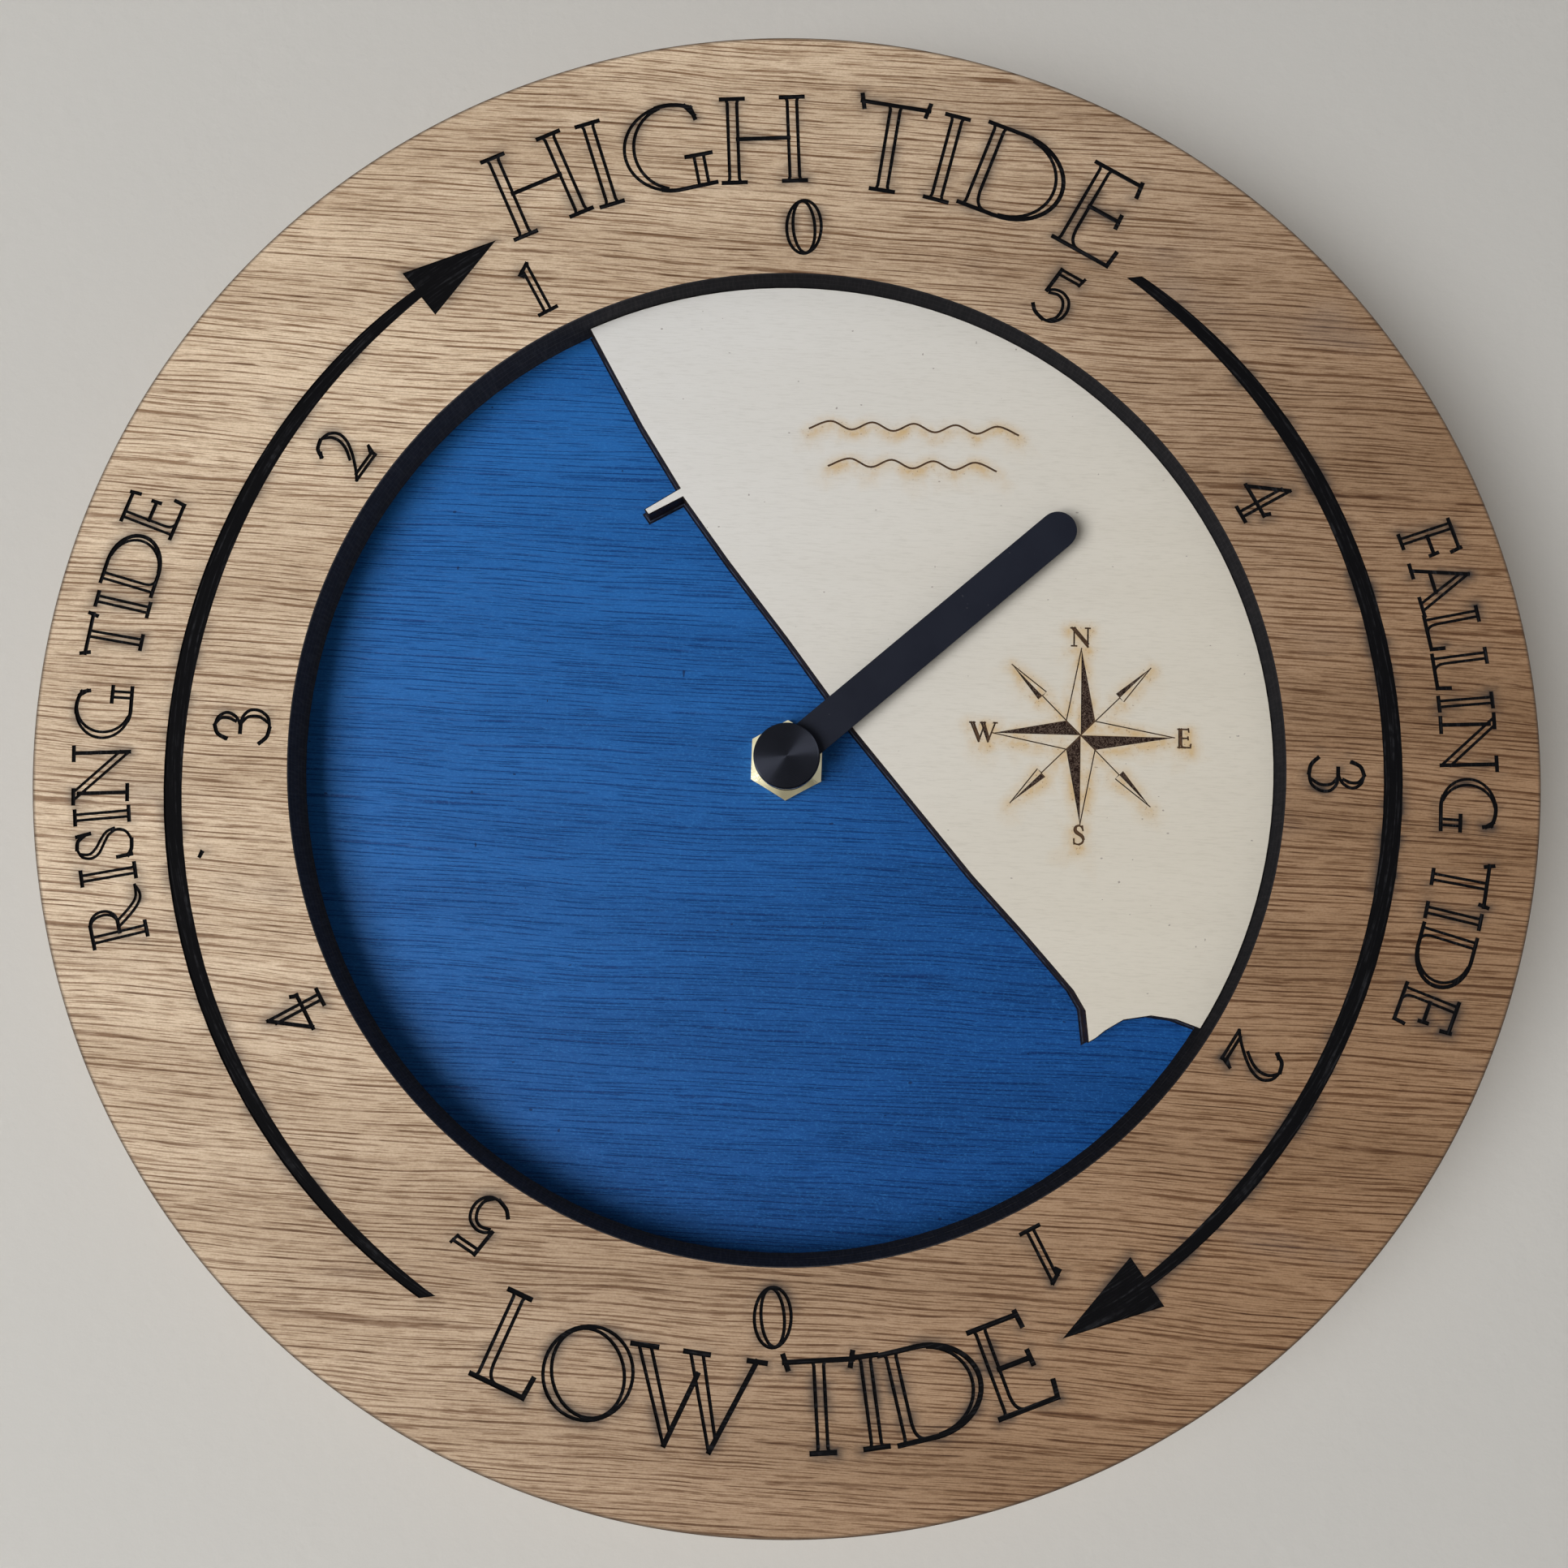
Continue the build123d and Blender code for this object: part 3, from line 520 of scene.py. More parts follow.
def curve(points, steps=6):
    """Smooth line through points."""
    ends = [points[0]] + list(points) + [points[-1]]
    smooth = []
    for before, start, end, after in zip(ends, ends[1:], ends[2:], ends[3:]):
        for step in range(steps):
            t = step / steps
            smooth.append(tuple(
                0.5 * (2 * s + (e - b) * t + (2 * b - 5 * s + 4 * e - a) * t ** 2
                       + (3 * s - b - 3 * e + a) * t ** 3)
                for b, s, e, a in zip(before, start, end, after)))
    return smooth + [points[-1]]


def serif(x, y):
    """Short level line across the end of a stem."""
    return [(x - SERIF, y), (x + STEM + SERIF, y)]


def upright(x, top, lean):
    """One side of a stem, flared toward its ends."""
    return [(x + lean * FLARE, 0), (x, FLARE_RISE), (x, top - FLARE_RISE), (x + lean * FLARE, top)]


def stem(x):
    """Both sides of a stem."""
    return [upright(x, 1, -1), upright(x + STEM, 1, 1)]


def serifs(x):
    """Both serifs of a stem."""
    return [serif(x, 0), serif(x, 1)]


def rooted(x):
    """Both sides of a stem that bends into a foot to the right."""
    side = x + STEM
    bend = curve([(side, 0.20), (side + 0.02, 0.09), (side + 0.08, 0.02), (side + 0.18, 0)], steps=4)
    return [upright(x, 1, -1), [(side + FLARE, 1), (side, 1 - FLARE_RISE)] + bend]


GLYPHS = {
    "I": (0.275, stem(SERIF), serifs(SERIF)),
    "H": (0.95, stem(SERIF) + stem(0.76),
          serifs(SERIF) + serifs(0.76) + [[(SERIF + STEM, 0.515), (0.76, 0.515)]]),
    "T": (0.76, stem(0.325), [
        serif(0.325, 0), [(0, 1), (0.76, 1)], [(-0.01, 1.07), (0.03, 0.93)], [(0.765, 1.07), (0.735, 0.93)]]),
    "L": (0.66, rooted(SERIF), [[(0, 0), (0.63, 0)], serif(SERIF, 1), [(0.63, 0), (0.65, 0.23)]]),
    "E": (0.70, rooted(SERIF), [
        [(0, 0), (0.68, 0)], [(0, 1), (0.56, 1)], [(0.565, 1.03), (0.585, 0.87)], [(0.68, 0), (0.70, 0.18)],
        [(SERIF + STEM, 0.51), (0.54, 0.51)], [(0.545, 0.58), (0.555, 0.44)]]),
    "F": (0.60, stem(SERIF), [
        serif(SERIF, 0), [(0, 1), (0.57, 1)], [(0.575, 1.03), (0.60, 0.85)],
        [(SERIF + STEM, 0.51), (0.53, 0.51)], [(0.535, 0.58), (0.545, 0.44)]]),
    "D": (1.04, rooted(SERIF) + [bow(0.42, 0.5, 1.06, 0.96, 76, -84)], [
        [(0, 0), (0.42, 0)], [(0, 1), (0.42, 1)], bow(0.42, 0.5, 1.24, 1.0, 90, -90)]),
    "G": (0.98, [
        bow(0.57, 0.5, 0.92, 0.99, 102, 250), [(0.775, 0), (0.775, 0.36)], [(0.885, 0), (0.885, 0.36)],
        bow(0.55, 0.5, 1.10, 1.02, 100, 250, steps=30)], [
        bow(0.55, 0.5, 1.10, 1.02, 58, 100), bow(0.55, 0.5, 1.10, 1.02, 250, 270),
        [(0.55, -0.01), (0.97, 0)], [(0.84, 0.935), (0.87, 0.80)], [(0.78, 0.965), (0.865, 0.84)],
        [(0.69, 0.36), (0.97, 0.36)]]),
    "O": (1.0, [
        bow(0.5, 0.5, 1.0, 1.02, 0, 360, steps=40), bow(0.5, 0.5, 0.80, 0.98, 0, 360, 32, 40)], []),
    "W": (1.46, [
        [(0.05, 1), (0.477, -0.03)], [(0.185, 1), (0.525, 0.12)], [(0.63, 1), (0.985, -0.03)],
        [(0.77, 1), (1.035, 0.12)]], [
        [(0.485, -0.03), (0.742, 0.77)], [(0.993, -0.03), (1.375, 1)],
        [(-0.02, 1), (0.25, 1)], [(0.575, 1), (0.83, 1)], [(1.29, 1), (1.47, 1)]]),
    "A": (0.99, [[(0.435, 1.03), (0.90, 0)], [(0.40, 0.86), (0.76, 0)]], [
        [(0.11, 0), (0.44, 1.02)], [(0.23, 0.33), (0.62, 0.33)], [(0, 0), (0.24, 0)], [(0.66, 0), (1.0, 0)]]),
    "N": (1.04, [[(0.06, 1), (0.94, -0.03)], [(0.21, 1), (0.95, 0.14)]], [
        [(0.185, 0), (0.185, 0.90)], [(0.94, 1), (0.94, -0.03)], [(0.05, 0), (0.32, 0)], [(0, 1), (0.25, 1)],
        [(0.81, 1), (1.05, 1)]]),
    "R": (1.0, stem(0.11) + [
        bow(0.42, 0.745, 0.46, 0.51, 90, -90), bow(0.42, 0.745, 0.32, 0.48, 72, -72),
        curve([(0.30, 0.49), (0.50, 0.21), (0.68, 0.03), (0.83, -0.01), (0.99, 0.05)]),
        curve([(0.42, 0.49), (0.60, 0.24), (0.77, 0.08), (0.99, 0.05)])], [
        serif(0.11, 0), [(0.02, 1), (0.42, 1)], [(0.215, 0.49), (0.42, 0.49)]]),
    "S": (0.60, [
        curve([(0.27, 1.01), (0.12, 0.93), (0.07, 0.77), (0.14, 0.62), (0.31, 0.51), (0.47, 0.40),
               (0.55, 0.24), (0.49, 0.08), (0.33, -0.01)]),
        curve([(0.17, 0.95), (0.15, 0.79), (0.25, 0.66), (0.41, 0.55), (0.53, 0.44), (0.58, 0.30)])], [
        curve([(0.51, 0.85), (0.41, 0.98), (0.27, 1.01)]), curve([(0.33, -0.01), (0.16, 0.01), (0.05, 0.08)]),
        [(0.50, 0.99), (0.53, 0.76)], [(0.04, 0.27), (0.06, 0.02)]]),
    "0": (0.64, [
        bow(0.32, 0.5, 0.65, 1.04, 0, 360, steps=36), bow(0.32, 0.5, 0.41, 1.01, 0, 360, 6, 36)], []),
    "1": (0.34, [upright(0.11, 0.92, -1), upright(0.23, 1, 1)], [
        [(0, 0), (0.34, 0)], [(0.23, 1.0), (0.03, 0.86)], [(0.03, 0.86), (0.07, 0.81)]]),
    "2": (0.70, [
        curve([(0.28, 1.0), (0.46, 0.95), (0.57, 0.80), (0.55, 0.60), (0.42, 0.38), (0.22, 0.15), (0.05, 0)]),
        curve([(0.34, 0.98), (0.44, 0.86), (0.47, 0.70), (0.42, 0.52), (0.30, 0.34)]),
        [(0.05, 0), (0.64, 0)], [(0.14, 0.08), (0.60, 0.08)], [(0.62, 0), (0.70, 0.20)],
        [(0.60, 0.08), (0.68, 0.18)]], [
        curve([(0.04, 0.80), (0.12, 0.94), (0.28, 1.0)]), [(0.03, 0.80), (0.08, 0.85)]]),
    "3": (0.62, [
        curve([(0.28, 1.0), (0.44, 0.95), (0.53, 0.80), (0.47, 0.64), (0.34, 0.55), (0.22, 0.53)]),
        curve([(0.32, 0.99), (0.42, 0.90), (0.43, 0.76), (0.38, 0.63)]),
        curve([(0.32, 0.53), (0.47, 0.50), (0.59, 0.38), (0.59, 0.20), (0.47, 0.04), (0.28, 0.0)]),
        curve([(0.36, 0.51), (0.47, 0.40), (0.48, 0.20), (0.38, 0.03)])], [
        curve([(0.06, 0.80), (0.14, 0.94), (0.28, 1.0)]), curve([(0.28, 0.0), (0.12, 0.04), (0.0, 0.16)]),
        [(0.18, 0.53), (0.32, 0.53)], [(0.06, 0.78), (0.09, 0.86)]]),
    "4": (0.70, [[(0.40, 0), (0.40, 0.90)], [(0.51, 0), (0.51, 1.02)]], [
        [(0.50, 1.01), (0.04, 0.36)], [(0.02, 0.36), (0.68, 0.36)], [(0.67, 0.36), (0.70, 0.46)],
        [(0.31, 0), (0.60, 0)]]),
    "5": (0.64, [
        [(0.14, 1.0), (0.60, 1.0)], [(0.15, 0.90), (0.57, 0.90)], [(0.61, 1.04), (0.57, 0.89)],
        curve([(0.10, 0.52), (0.22, 0.60), (0.38, 0.62), (0.55, 0.53), (0.62, 0.34), (0.58, 0.15),
               (0.45, 0.02), (0.28, -0.01)]),
        curve([(0.16, 0.50), (0.32, 0.54), (0.45, 0.48), (0.52, 0.32), (0.50, 0.14), (0.40, 0.03)])], [
        [(0.14, 1.0), (0.09, 0.52)], curve([(0.28, -0.01), (0.10, 0.05), (0.0, 0.15)])])}

# What some neighbours add to the even gap between letters, in heights of a capital
KERNING = {"FA": -0.09, "AL": -0.06, "LI": 0.05, "NG": 0.06, "RI": 0.06, "IN": -0.025, "LO": 0.02,
           "OW": -0.03}


def on_dial(bearing, radius):
    """Place at a bearing and radius."""
    angle = math.radians(bearing)
    return Vector((radius * math.sin(angle), radius * math.cos(angle)))


def ribbon(points, width):
    """Line of a width as a row of four-cornered patches, half a width longer at open ends."""
    points = [Vector(point) for point in points]
    closed = (points[0] - points[-1]).length < width / 10
    ends = (points[-2], points[1]) if closed else (points[0], points[-1])
    corners = []
    for before, point, after in zip([ends[0]] + points, points, points[1:] + [ends[1]]):
        way = (after - before).normalized()
        lift = Vector((-way.y, way.x)) * width / 2
        reach = Vector((0, 0))
        if before == point:
            reach = -way * width / 2
        elif after == point:
            reach = way * width / 2
        corners.append((point + lift + reach, point - lift + reach))
    return [[right, next_right, next_left, left]
            for (left, right), (next_left, next_right) in zip(corners, corners[1:])]


def counter_clockwise(corners):
    """An outline in counter-clockwise order."""
    corners = [Vector(corner) for corner in corners]
    area = sum(a.cross(b) for a, b in zip(corners, corners[1:] + corners[:1]))
    return corners if area > 0 else corners[::-1]


class Cutting:
    """Lines and patches cut into a face."""

    def __init__(self):
        self.patches = []

    def line(self, points, width):
        self.patches += ribbon(points, width)

    def patch(self, corners):
        """Filled shape, kept counter-clockwise."""
        self.patches.append(counter_clockwise(corners))

    def glyph(self, name, centre, across, up, widths):
        """One glyph over the middle of its base, with the directions of its lines as vectors of its height.

        The widths are those of its outlines and of its single strokes."""
        glyph_width, outlines, strokes = GLYPHS[name]
        for lines, width in zip((outlines, strokes), widths):
            for points in lines:
                self.line([centre + across * (x - glyph_width / 2) + up * y for x, y in points], width)

    def arched(self, word, height, baselines, bearings, outward, widths):
        """A word bent along the dial, with the radius of its baseline and its bearing at both ends.

        Its tops point outward, or to the axis."""
        sizes = [GLYPHS[letter][0] * height for letter in word]
        kerns = [KERNING.get(pair, 0) * height for pair in map("".join, zip(word, word[1:]))] + [0]
        start, end = bearings
        length = math.radians(abs(end - start)) * (sum(baselines) + (height if outward else -height)) / 2
        gap = (length - sum(sizes) - sum(kerns)) / (len(word) - 1)
        turn = 1 if end > start else -1
        reached = 0.0
        for letter, size, kern in zip(word, sizes, kerns):
            share = (reached + size / 2) / length
            reached += size + gap + kern
            out = on_dial(start + (end - start) * share, 1)
            baseline = baselines[0] + (baselines[1] - baselines[0]) * share
            up = out * height if outward else -out * height
            across = Vector((out.y, -out.x)) * height * turn
            self.glyph(letter, out * baseline, across, up, widths)


def mitred(first, second, amount):
    """Shift of a corner between two directions that moves both of its sides to the right by an amount."""
    mitre = Vector((first.y + second.y, -first.x - second.x))
    return mitre * (2 * amount / mitre.length_squared)


def grown(loop, amount):
    """Loop moved to the right of its direction: out of a counter-clockwise outline, into a clockwise hole."""
    moved = []
    for before, place, after in zip(loop[-1:] + loop[:-1], loop, loop[1:] + loop[:1]):
        first = (place - before).normalized()
        second = (after - place).normalized()
        moved.append(place + mitred(first, second, amount))
    return moved


def circle(radius, segments, turn=1):
    """Loop round the axis: counter-clockwise, or clockwise with a turn of -1."""
    return [on_dial(-turn * 360 * step / segments, radius) for step in range(segments)]


class Sheet:
    """Mesh in the making: places, faces, the look of each face, and the soot at each place."""

    def __init__(self):
        self.places = []
        self.faces = []
        self.face_looks = []
        self.soot = []

    def point(self, place, depth, soot=0.0):
        self.places.append((place[0] * MM, -depth * MM, place[1] * MM))
        self.soot.append(soot)
        return len(self.places) - 1

    def face(self, corners, look=0):
        self.faces.append(corners)
        self.face_looks.append(look)

    def band(self, front, back, look):
        """Side between two loops of the same length."""
        for index in range(len(front)):
            following = (index + 1) % len(front)
            self.face([front[index], back[index], back[following], front[following]], look)

    def mesh(self, name, looks):
        made = bpy.data.meshes.new(name)
        made.from_pydata(self.places, [], self.faces)
        for look in looks:
            made.materials.append(LOOKS[look])
        made.polygons.foreach_set("material_index", self.face_looks)
        made.attributes.new("soot", "FLOAT", "POINT").data.foreach_set("value", self.soot)
        return made


def triangulated(loops, extra, patches):
    """Constrained triangles of loops, loose points and patches, with where each loop's points went."""
    points = []
    edges = []
    for loop in loops:
        first = len(points)
        points += loop
        edges += [(first + index, first + (index + 1) % len(loop)) for index in range(len(loop))]
    numbered = []
    for patch in patches:
        numbered.append([len(points) + index for index in range(len(patch))])
        points += patch
    flat, _, triangles, origins, _, owners = delaunay_2d_cdt(
        points + extra, edges, numbered, 0, merge_distance, True)
    went = {origin: index for index, found in enumerate(origins) for origin in found}
    return flat, triangles, owners, went


def centre_of(places, triangle):
    """Middle of a triangle."""
    first, second, third = triangle
    return (places[first] + places[second] + places[third]) / 3


def edge_samples(patches):
    """Places along the edges of all patches, a fine pitch apart."""
    samples = []
    for patch in patches:
        for corner, following in zip(patch, patch[1:] + patch[:1]):
            count = max(1, int((following - corner).length / fine_pitch))
            samples += [corner.lerp(following, step / count) for step in range(count)]
    return samples


def distance_from(samples):
    """A function that gives a place's distance from the nearest sample."""
    near = kdtree.KDTree(len(samples))
    for index, place in enumerate(samples):
        near.insert((*place, 0), index)
    near.balance()
    return lambda place: near.find((*place, 0))[2]


def loose_points(samples, away, inside, seed):
    """Random points for a face: close together where there may be soot, and far apart elsewhere."""
    draw = random.Random(seed)

    def jittered(column, row, pitch):
        """A random place in a cell of a grid."""
        return Vector([(cell + draw.uniform(*jitter_shares)) * pitch for cell in (column, row)])

    reach = int(soot_reach / fine_pitch) + 1
    cells = set()
    for place in samples:
        column, row = int(place.x // fine_pitch), int(place.y // fine_pitch)
        cells.update(product(range(column - reach, column + reach + 1), range(row - reach, row + reach + 1)))
    points = []
    for column, row in sorted(cells):
        place = jittered(column, row, fine_pitch)
        if inside(place, fine_pitch) and fine_pitch * clear_share < away(place) < soot_reach:
            points.append(place)
    extent = int(dial_radius / coarse_pitch) + 1
    for column, row in product(range(-extent, extent), repeat=2):
        place = jittered(column, row, coarse_pitch)
        if inside(place, coarse_pitch / 3) and away(place) > soot_reach:
            points.append(place)
    return points


def sides_and_back(sheet, loops, rims, inside, face, back):
    """Bevelled sides from the rim of each loop to the back, and the back itself."""
    back_loops = []
    back_numbers = []
    for look, (loop, rim) in enumerate(zip(loops, rims), 3):
        full = grown(loop, edge_bevel)
        shoulder = [sheet.point(place, face - edge_bevel) for place in full]
        base = [sheet.point(place, back) for place in full]
        sheet.band(rim, shoulder, look)
        sheet.band(shoulder, base, look)
        back_loops.append(full)
        back_numbers += base
    flat, triangles, _, went = triangulated(back_loops, [], [])
    came = {index: origin for origin, index in went.items()}
    for triangle in triangles:
        if inside(centre_of(flat, triangle), -edge_bevel):
            sheet.face([back_numbers[came[index]] for index in reversed(triangle)], 2)


def engraved_mesh(name, loops, inside, cutting, face, back, looks, seed, drift=0.0):
    """Flat panel with a cut face: an outline and its holes as loops, and a test of what lies inside them.

    The looks are those of the face, the cuts, the back, and the side of each loop. The soot lies round the
    cuts, and below them by a drift."""
    samples = edge_samples(cutting.patches)
    away = distance_from(samples)
    extra = loose_points(samples, away, inside, seed)
    flat, triangles, owners, went = triangulated(loops, extra, cutting.patches)
    sheet = Sheet()
    numbers = {}

    def corner(index, depth):
        """The mesh point over a flat point at a depth."""
        if (index, depth) not in numbers:
            lift = Vector((0, drift if depth == face else 0))
            soot = max(0.0, 1 - away(flat[index] + lift) / soot_reach) ** soot_fade
            numbers[index, depth] = sheet.point(flat[index], depth, soot)
        return numbers[index, depth]

    floor = face - groove_depth
    sides = {}
    for triangle, owner in zip(triangles, owners):
        if not inside(centre_of(flat, triangle), 0):
            continue
        cut = bool(owner)
        sheet.face([corner(index, floor if cut else face) for index in triangle], int(cut))
        for start, end in zip(triangle, triangle[1:] + triangle[:1]):
            sides.setdefault(frozenset((start, end)), []).append((start, end, cut))
    for shared in sides.values():
        if len(shared) == 2 and shared[0][2] != shared[1][2]:
            start, end, _ = shared[0] if shared[0][2] else shared[1]
            sheet.face([corner(end, floor), corner(start, floor), corner(start, face), corner(end, face)], 1)

    rims = []
    first = 0
    for loop in loops:
        rims.append([corner(went[first + index], face) for index in range(len(loop))])
        first += len(loop)
    sides_and_back(sheet, loops, rims, inside, face, back)
    return sheet.mesh(name, looks)


def added(name, data):
    """A new object in the scene."""
    made = bpy.data.objects.new(name, data)
    bpy.context.scene.collection.objects.link(made)
    return made


def piece(mesh, body, slot, *nodes):
    """An object for a mesh: it rides on a body and stands for CAD nodes, which it hides. The slot is not
    used.
    """
    made = added(mesh.name, mesh)
    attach(made, body)
    if nodes:
        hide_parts(*nodes)


# Front ring: legend, hours, tide arrows

hour_height = 9.1
hour_baseline = 86.3
hour_shift = Vector((0.27, 0.20))
hour_widths = (0.54, 0.68)
hour_bearings = (-0.3, 28.3, 59.3, 90.2, 121.4, 151.2, 179.6, 211.0, 239.9, 271.1, 302.4, 329.7)
hours = "054321" * 2

ring_cuts = Cutting()
for hour, bearing in zip(hours, hour_bearings):
    out = on_dial(bearing, 1) * hour_height
    foot = on_dial(bearing, hour_baseline) + hour_shift
    ring_cuts.glyph(hour, foot, Vector((out.y, -out.x)), out, hour_widths)

high_widths = (0.57, 0.76)
low_widths = (0.57, 0.86)
side_widths = (0.48, 0.66)

# Words: height, baseline at both ends, bearing of both ends, whether the tops point outward, line widths
LEGEND = (
    ("HIGH", 15.0, (100.0, 99.0), (-29.3, -0.3), True, high_widths),
    ("TIDE", 15.3, (98.7, 100.3), (4.4, 31.0), True, high_widths),
    ("LOW", 14.4, (111.3, 111.7), (205.1, 180.5), False, low_widths),
    ("TIDE", 14.3, (111.8, 111.6), (178.0, 154.9), False, low_widths),
    ("FALLING", 8.9, (109.3, 108.5), (68.2, 94.4), True, side_widths),
    ("TIDE", 9.0, (108.2, 108.1), (96.9, 111.5), True, side_widths),
    ("RISING", 8.9, (108.8, 109.5), (252.2, 273.9), True, side_widths),
    ("TIDE", 8.9, (109.3, 109.9), (276.3, 290.7), True, side_widths))
for entry in LEGEND:
    ring_cuts.arched(*entry)

band_end = 1.75
band_middle = 3.15
tail_slant = 1.1

# Tide arrows, as (bearing, radius) places: the band's course, and the corners of the head
FALLING_ARROW = (((34.4, 101.3), (50, 101.0), (88, 100.5), (125, 101.7), (144.0, 103.0)),
                 ((143.7, 98.2), (143.7, 107.6), (152.8, 103.8)))
RISING_ARROW = (((212.0, 104.8), (235, 103.6), (272, 101.4), (290, 100.9), (310, 101.0), (319.9, 101.1)),
                ((319.6, 96.3), (319.6, 105.6), (328.7, 101.6)))

# A small dent in the face, left of the rising arrow
DENT = ((258.6, 97.3), (258.9, 97.9), (258.2, 98.6), (258.0, 98.1))


def tide_arrow(course, head):
    """A long curved band, slanted at its tail, with an arrowhead at its end."""
    line = [on_dial(bearing, radius) for bearing, radius in curve(course, steps=14)]
    count = len(line) - 1
    left, right = [], []
    for index, place in enumerate(line):
        way = (line[min(index + 1, count)] - line[max(index - 1, 0)]).normalized()
        width = band_end + (band_middle - band_end) * math.sin(math.pi * index / count)
        half = Vector((-way.y, way.x)) * width / 2
        left.append(place + half)
        right.append(place - half)
    for index in range(count):
        ring_cuts.patch([left[index], right[index], right[index + 1], left[index + 1]])
    ring_cuts.patch([left[0], right[0], on_dial(course[0][0] - tail_slant, course[0][1] - band_end / 2)])
    ring_cuts.patch([on_dial(*corner) for corner in head])


tide_arrow(*FALLING_ARROW)
tide_arrow(*RISING_ARROW)
ring_cuts.patch([on_dial(*corner) for corner in DENT])

flat_outer = dial_radius - edge_bevel
flat_inner = opening_radius + edge_bevel
ring_mesh = engraved_mesh(
    "ring_panel", [circle(flat_outer, rim_segments), circle(flat_inner, rim_segments, turn=-1)],
    lambda place, margin: flat_inner + margin < place.length < flat_outer - margin,
    ring_cuts, ring_face, land_face,
    ["stained_wood", "ring_char", "pale_wood", "rim_edge", "inner_edge"], seed=1)
piece(ring_mesh, "clock_body", "stained_wood", "front_ring")


# Land: compass rose and two rows of waves

same_depth = 0.001
key_digits = 4


def front_outline(node, depth):
    """Counter-clockwise outline of a flat front, read from a CAD node's mesh."""
    mesh = NODES[node].data
    used = {}
    for polygon in mesh.polygons:
        corners = [mesh.vertices[index].co / MM for index in polygon.vertices]
        if all(abs(corner.y + depth) < same_depth for corner in corners):
            keys = [(round(corner.x, key_digits), round(corner.z, key_digits)) for corner in corners]
            used.update(dict.fromkeys(zip(keys, keys[1:] + keys[:1])))
    following = {start: end for start, end in used if (end, start) not in used}
    loop = [next(iter(following))]
    while following[loop[-1]] != loop[0]:
        loop.append(following[loop[-1]])
    return counter_clockwise(loop)


coast = front_outline("land_panel", land_face)
flat_coast = grown(coast, -edge_bevel)


def on_land(place, margin):
    """Whether a place lies inside the land's outline, and a margin away from it."""
    within = False
    for start, end in zip(flat_coast, flat_coast[1:] + flat_coast[:1]):
        if (start.y > place.y) != (end.y > place.y):
            within ^= place.x < start.x + (end.x - start.x) * (place.y - start.y) / (end.y - start.y)
        if margin > 0:
            way = end - start
            share = max(0.0, min(1.0, (place - start).dot(way) / way.length_squared))
            if (place - start - way * share).length < margin:
                return False
    return within


rose_centre = Vector((49.7, 5.75))
rose_turn = -0.4
ray_lengths = (14.9, 15.9, 15.2, 14.9)
ray_waist = 2.45
thin_line = 0.20
small_start = 9.3
small_end = 16.7
small_half = 0.95
letter_height = 3.1
letter_widths = (0.36, 0.28)
letter_places = ((-0.35, 15.3), (17.6, -1.5), (-0.05, -18.5), (-16.5, -1.5))

land_cuts = Cutting()


def on_rose(bearing, distance, aside=0.0):
    """Place at a bearing and distance from the rose's centre, and a little to the right of that line."""
    way = on_dial(bearing + rose_turn, 1)
    return rose_centre + way * distance + Vector((way.y, -way.x)) * aside


for bearing, ray_length, letter, place in zip((0, 90, 180, 270), ray_lengths, "NESW", letter_places):
    tip = on_rose(bearing, ray_length)
    right_waist = on_rose(bearing, ray_waist, ray_waist)
    left_waist = on_rose(bearing, ray_waist, -ray_waist)
    land_cuts.patch([rose_centre, right_waist, tip])
    land_cuts.line([tip, left_waist, rose_centre], thin_line)
    small_foot = on_rose(bearing + 45, small_start)
    small_tip = on_rose(bearing + 45, small_end)
    land_cuts.patch([on_rose(bearing + 45, small_start, -small_half), small_foot, small_tip])
    land_cuts.line([small_tip, on_rose(bearing + 45, small_start, small_half), small_foot], thin_line)
    land_cuts.line([right_waist, small_foot], thin_line)
    across = on_dial(90 + rose_turn, letter_height)
    up = on_dial(rose_turn, letter_height)
    land_cuts.glyph(letter, rose_centre + Vector(place), across, up, letter_widths)

wave_length = 7.2
wave_height = 1.4
wave_line = 0.34

# Rows of waves: left end, height and number of waves
WAVE_ROWS = ((2.0, 57.5, 5), (5.5, 51.0, 4))
for left, height, count in WAVE_ROWS:
    crests = [(left + wave_length * step / 2, height + (wave_height if step % 2 else 0))
              for step in range(2 * count + 1)]
    land_cuts.line(curve(crests, steps=8), wave_line)

land_mesh = engraved_mesh(
    "land_relief", [flat_coast], on_land, land_cuts, land_face, sea_face,
    ["pale_wood", "land_char", "pale_wood", "coast_edge"], seed=2, drift=scorch_drift)
piece(land_mesh, "clock_body", "pale_wood", "land_panel")


# Seam where the land meets the sea: a bead of glue, and a scored line round it

arc_reach = opening_radius - 2 * land_fit_gap
bead_width = 0.22
bead_height = 0.14
# Section of the bead, as shares of its width and height
bead_shares = ((0, 0), (0, 1), (0.5, 0.85), (0.85, 0.5), (1, 0))
score_inner = 0.20
score_outer = 0.50
score_height = 0.02


def coast_run():
    """The coast from west to east, without the arc that lies inside the ring."""
    within = [place.length < arc_reach for place in coast]
    first = next(index for index in range(len(coast)) if within[index] and not within[index - 1])
    turned = coast[first - 1:] + coast[:first - 1]
    last = max(index for index, place in enumerate(turned) if place.length < arc_reach)
    return turned[:last + 2]


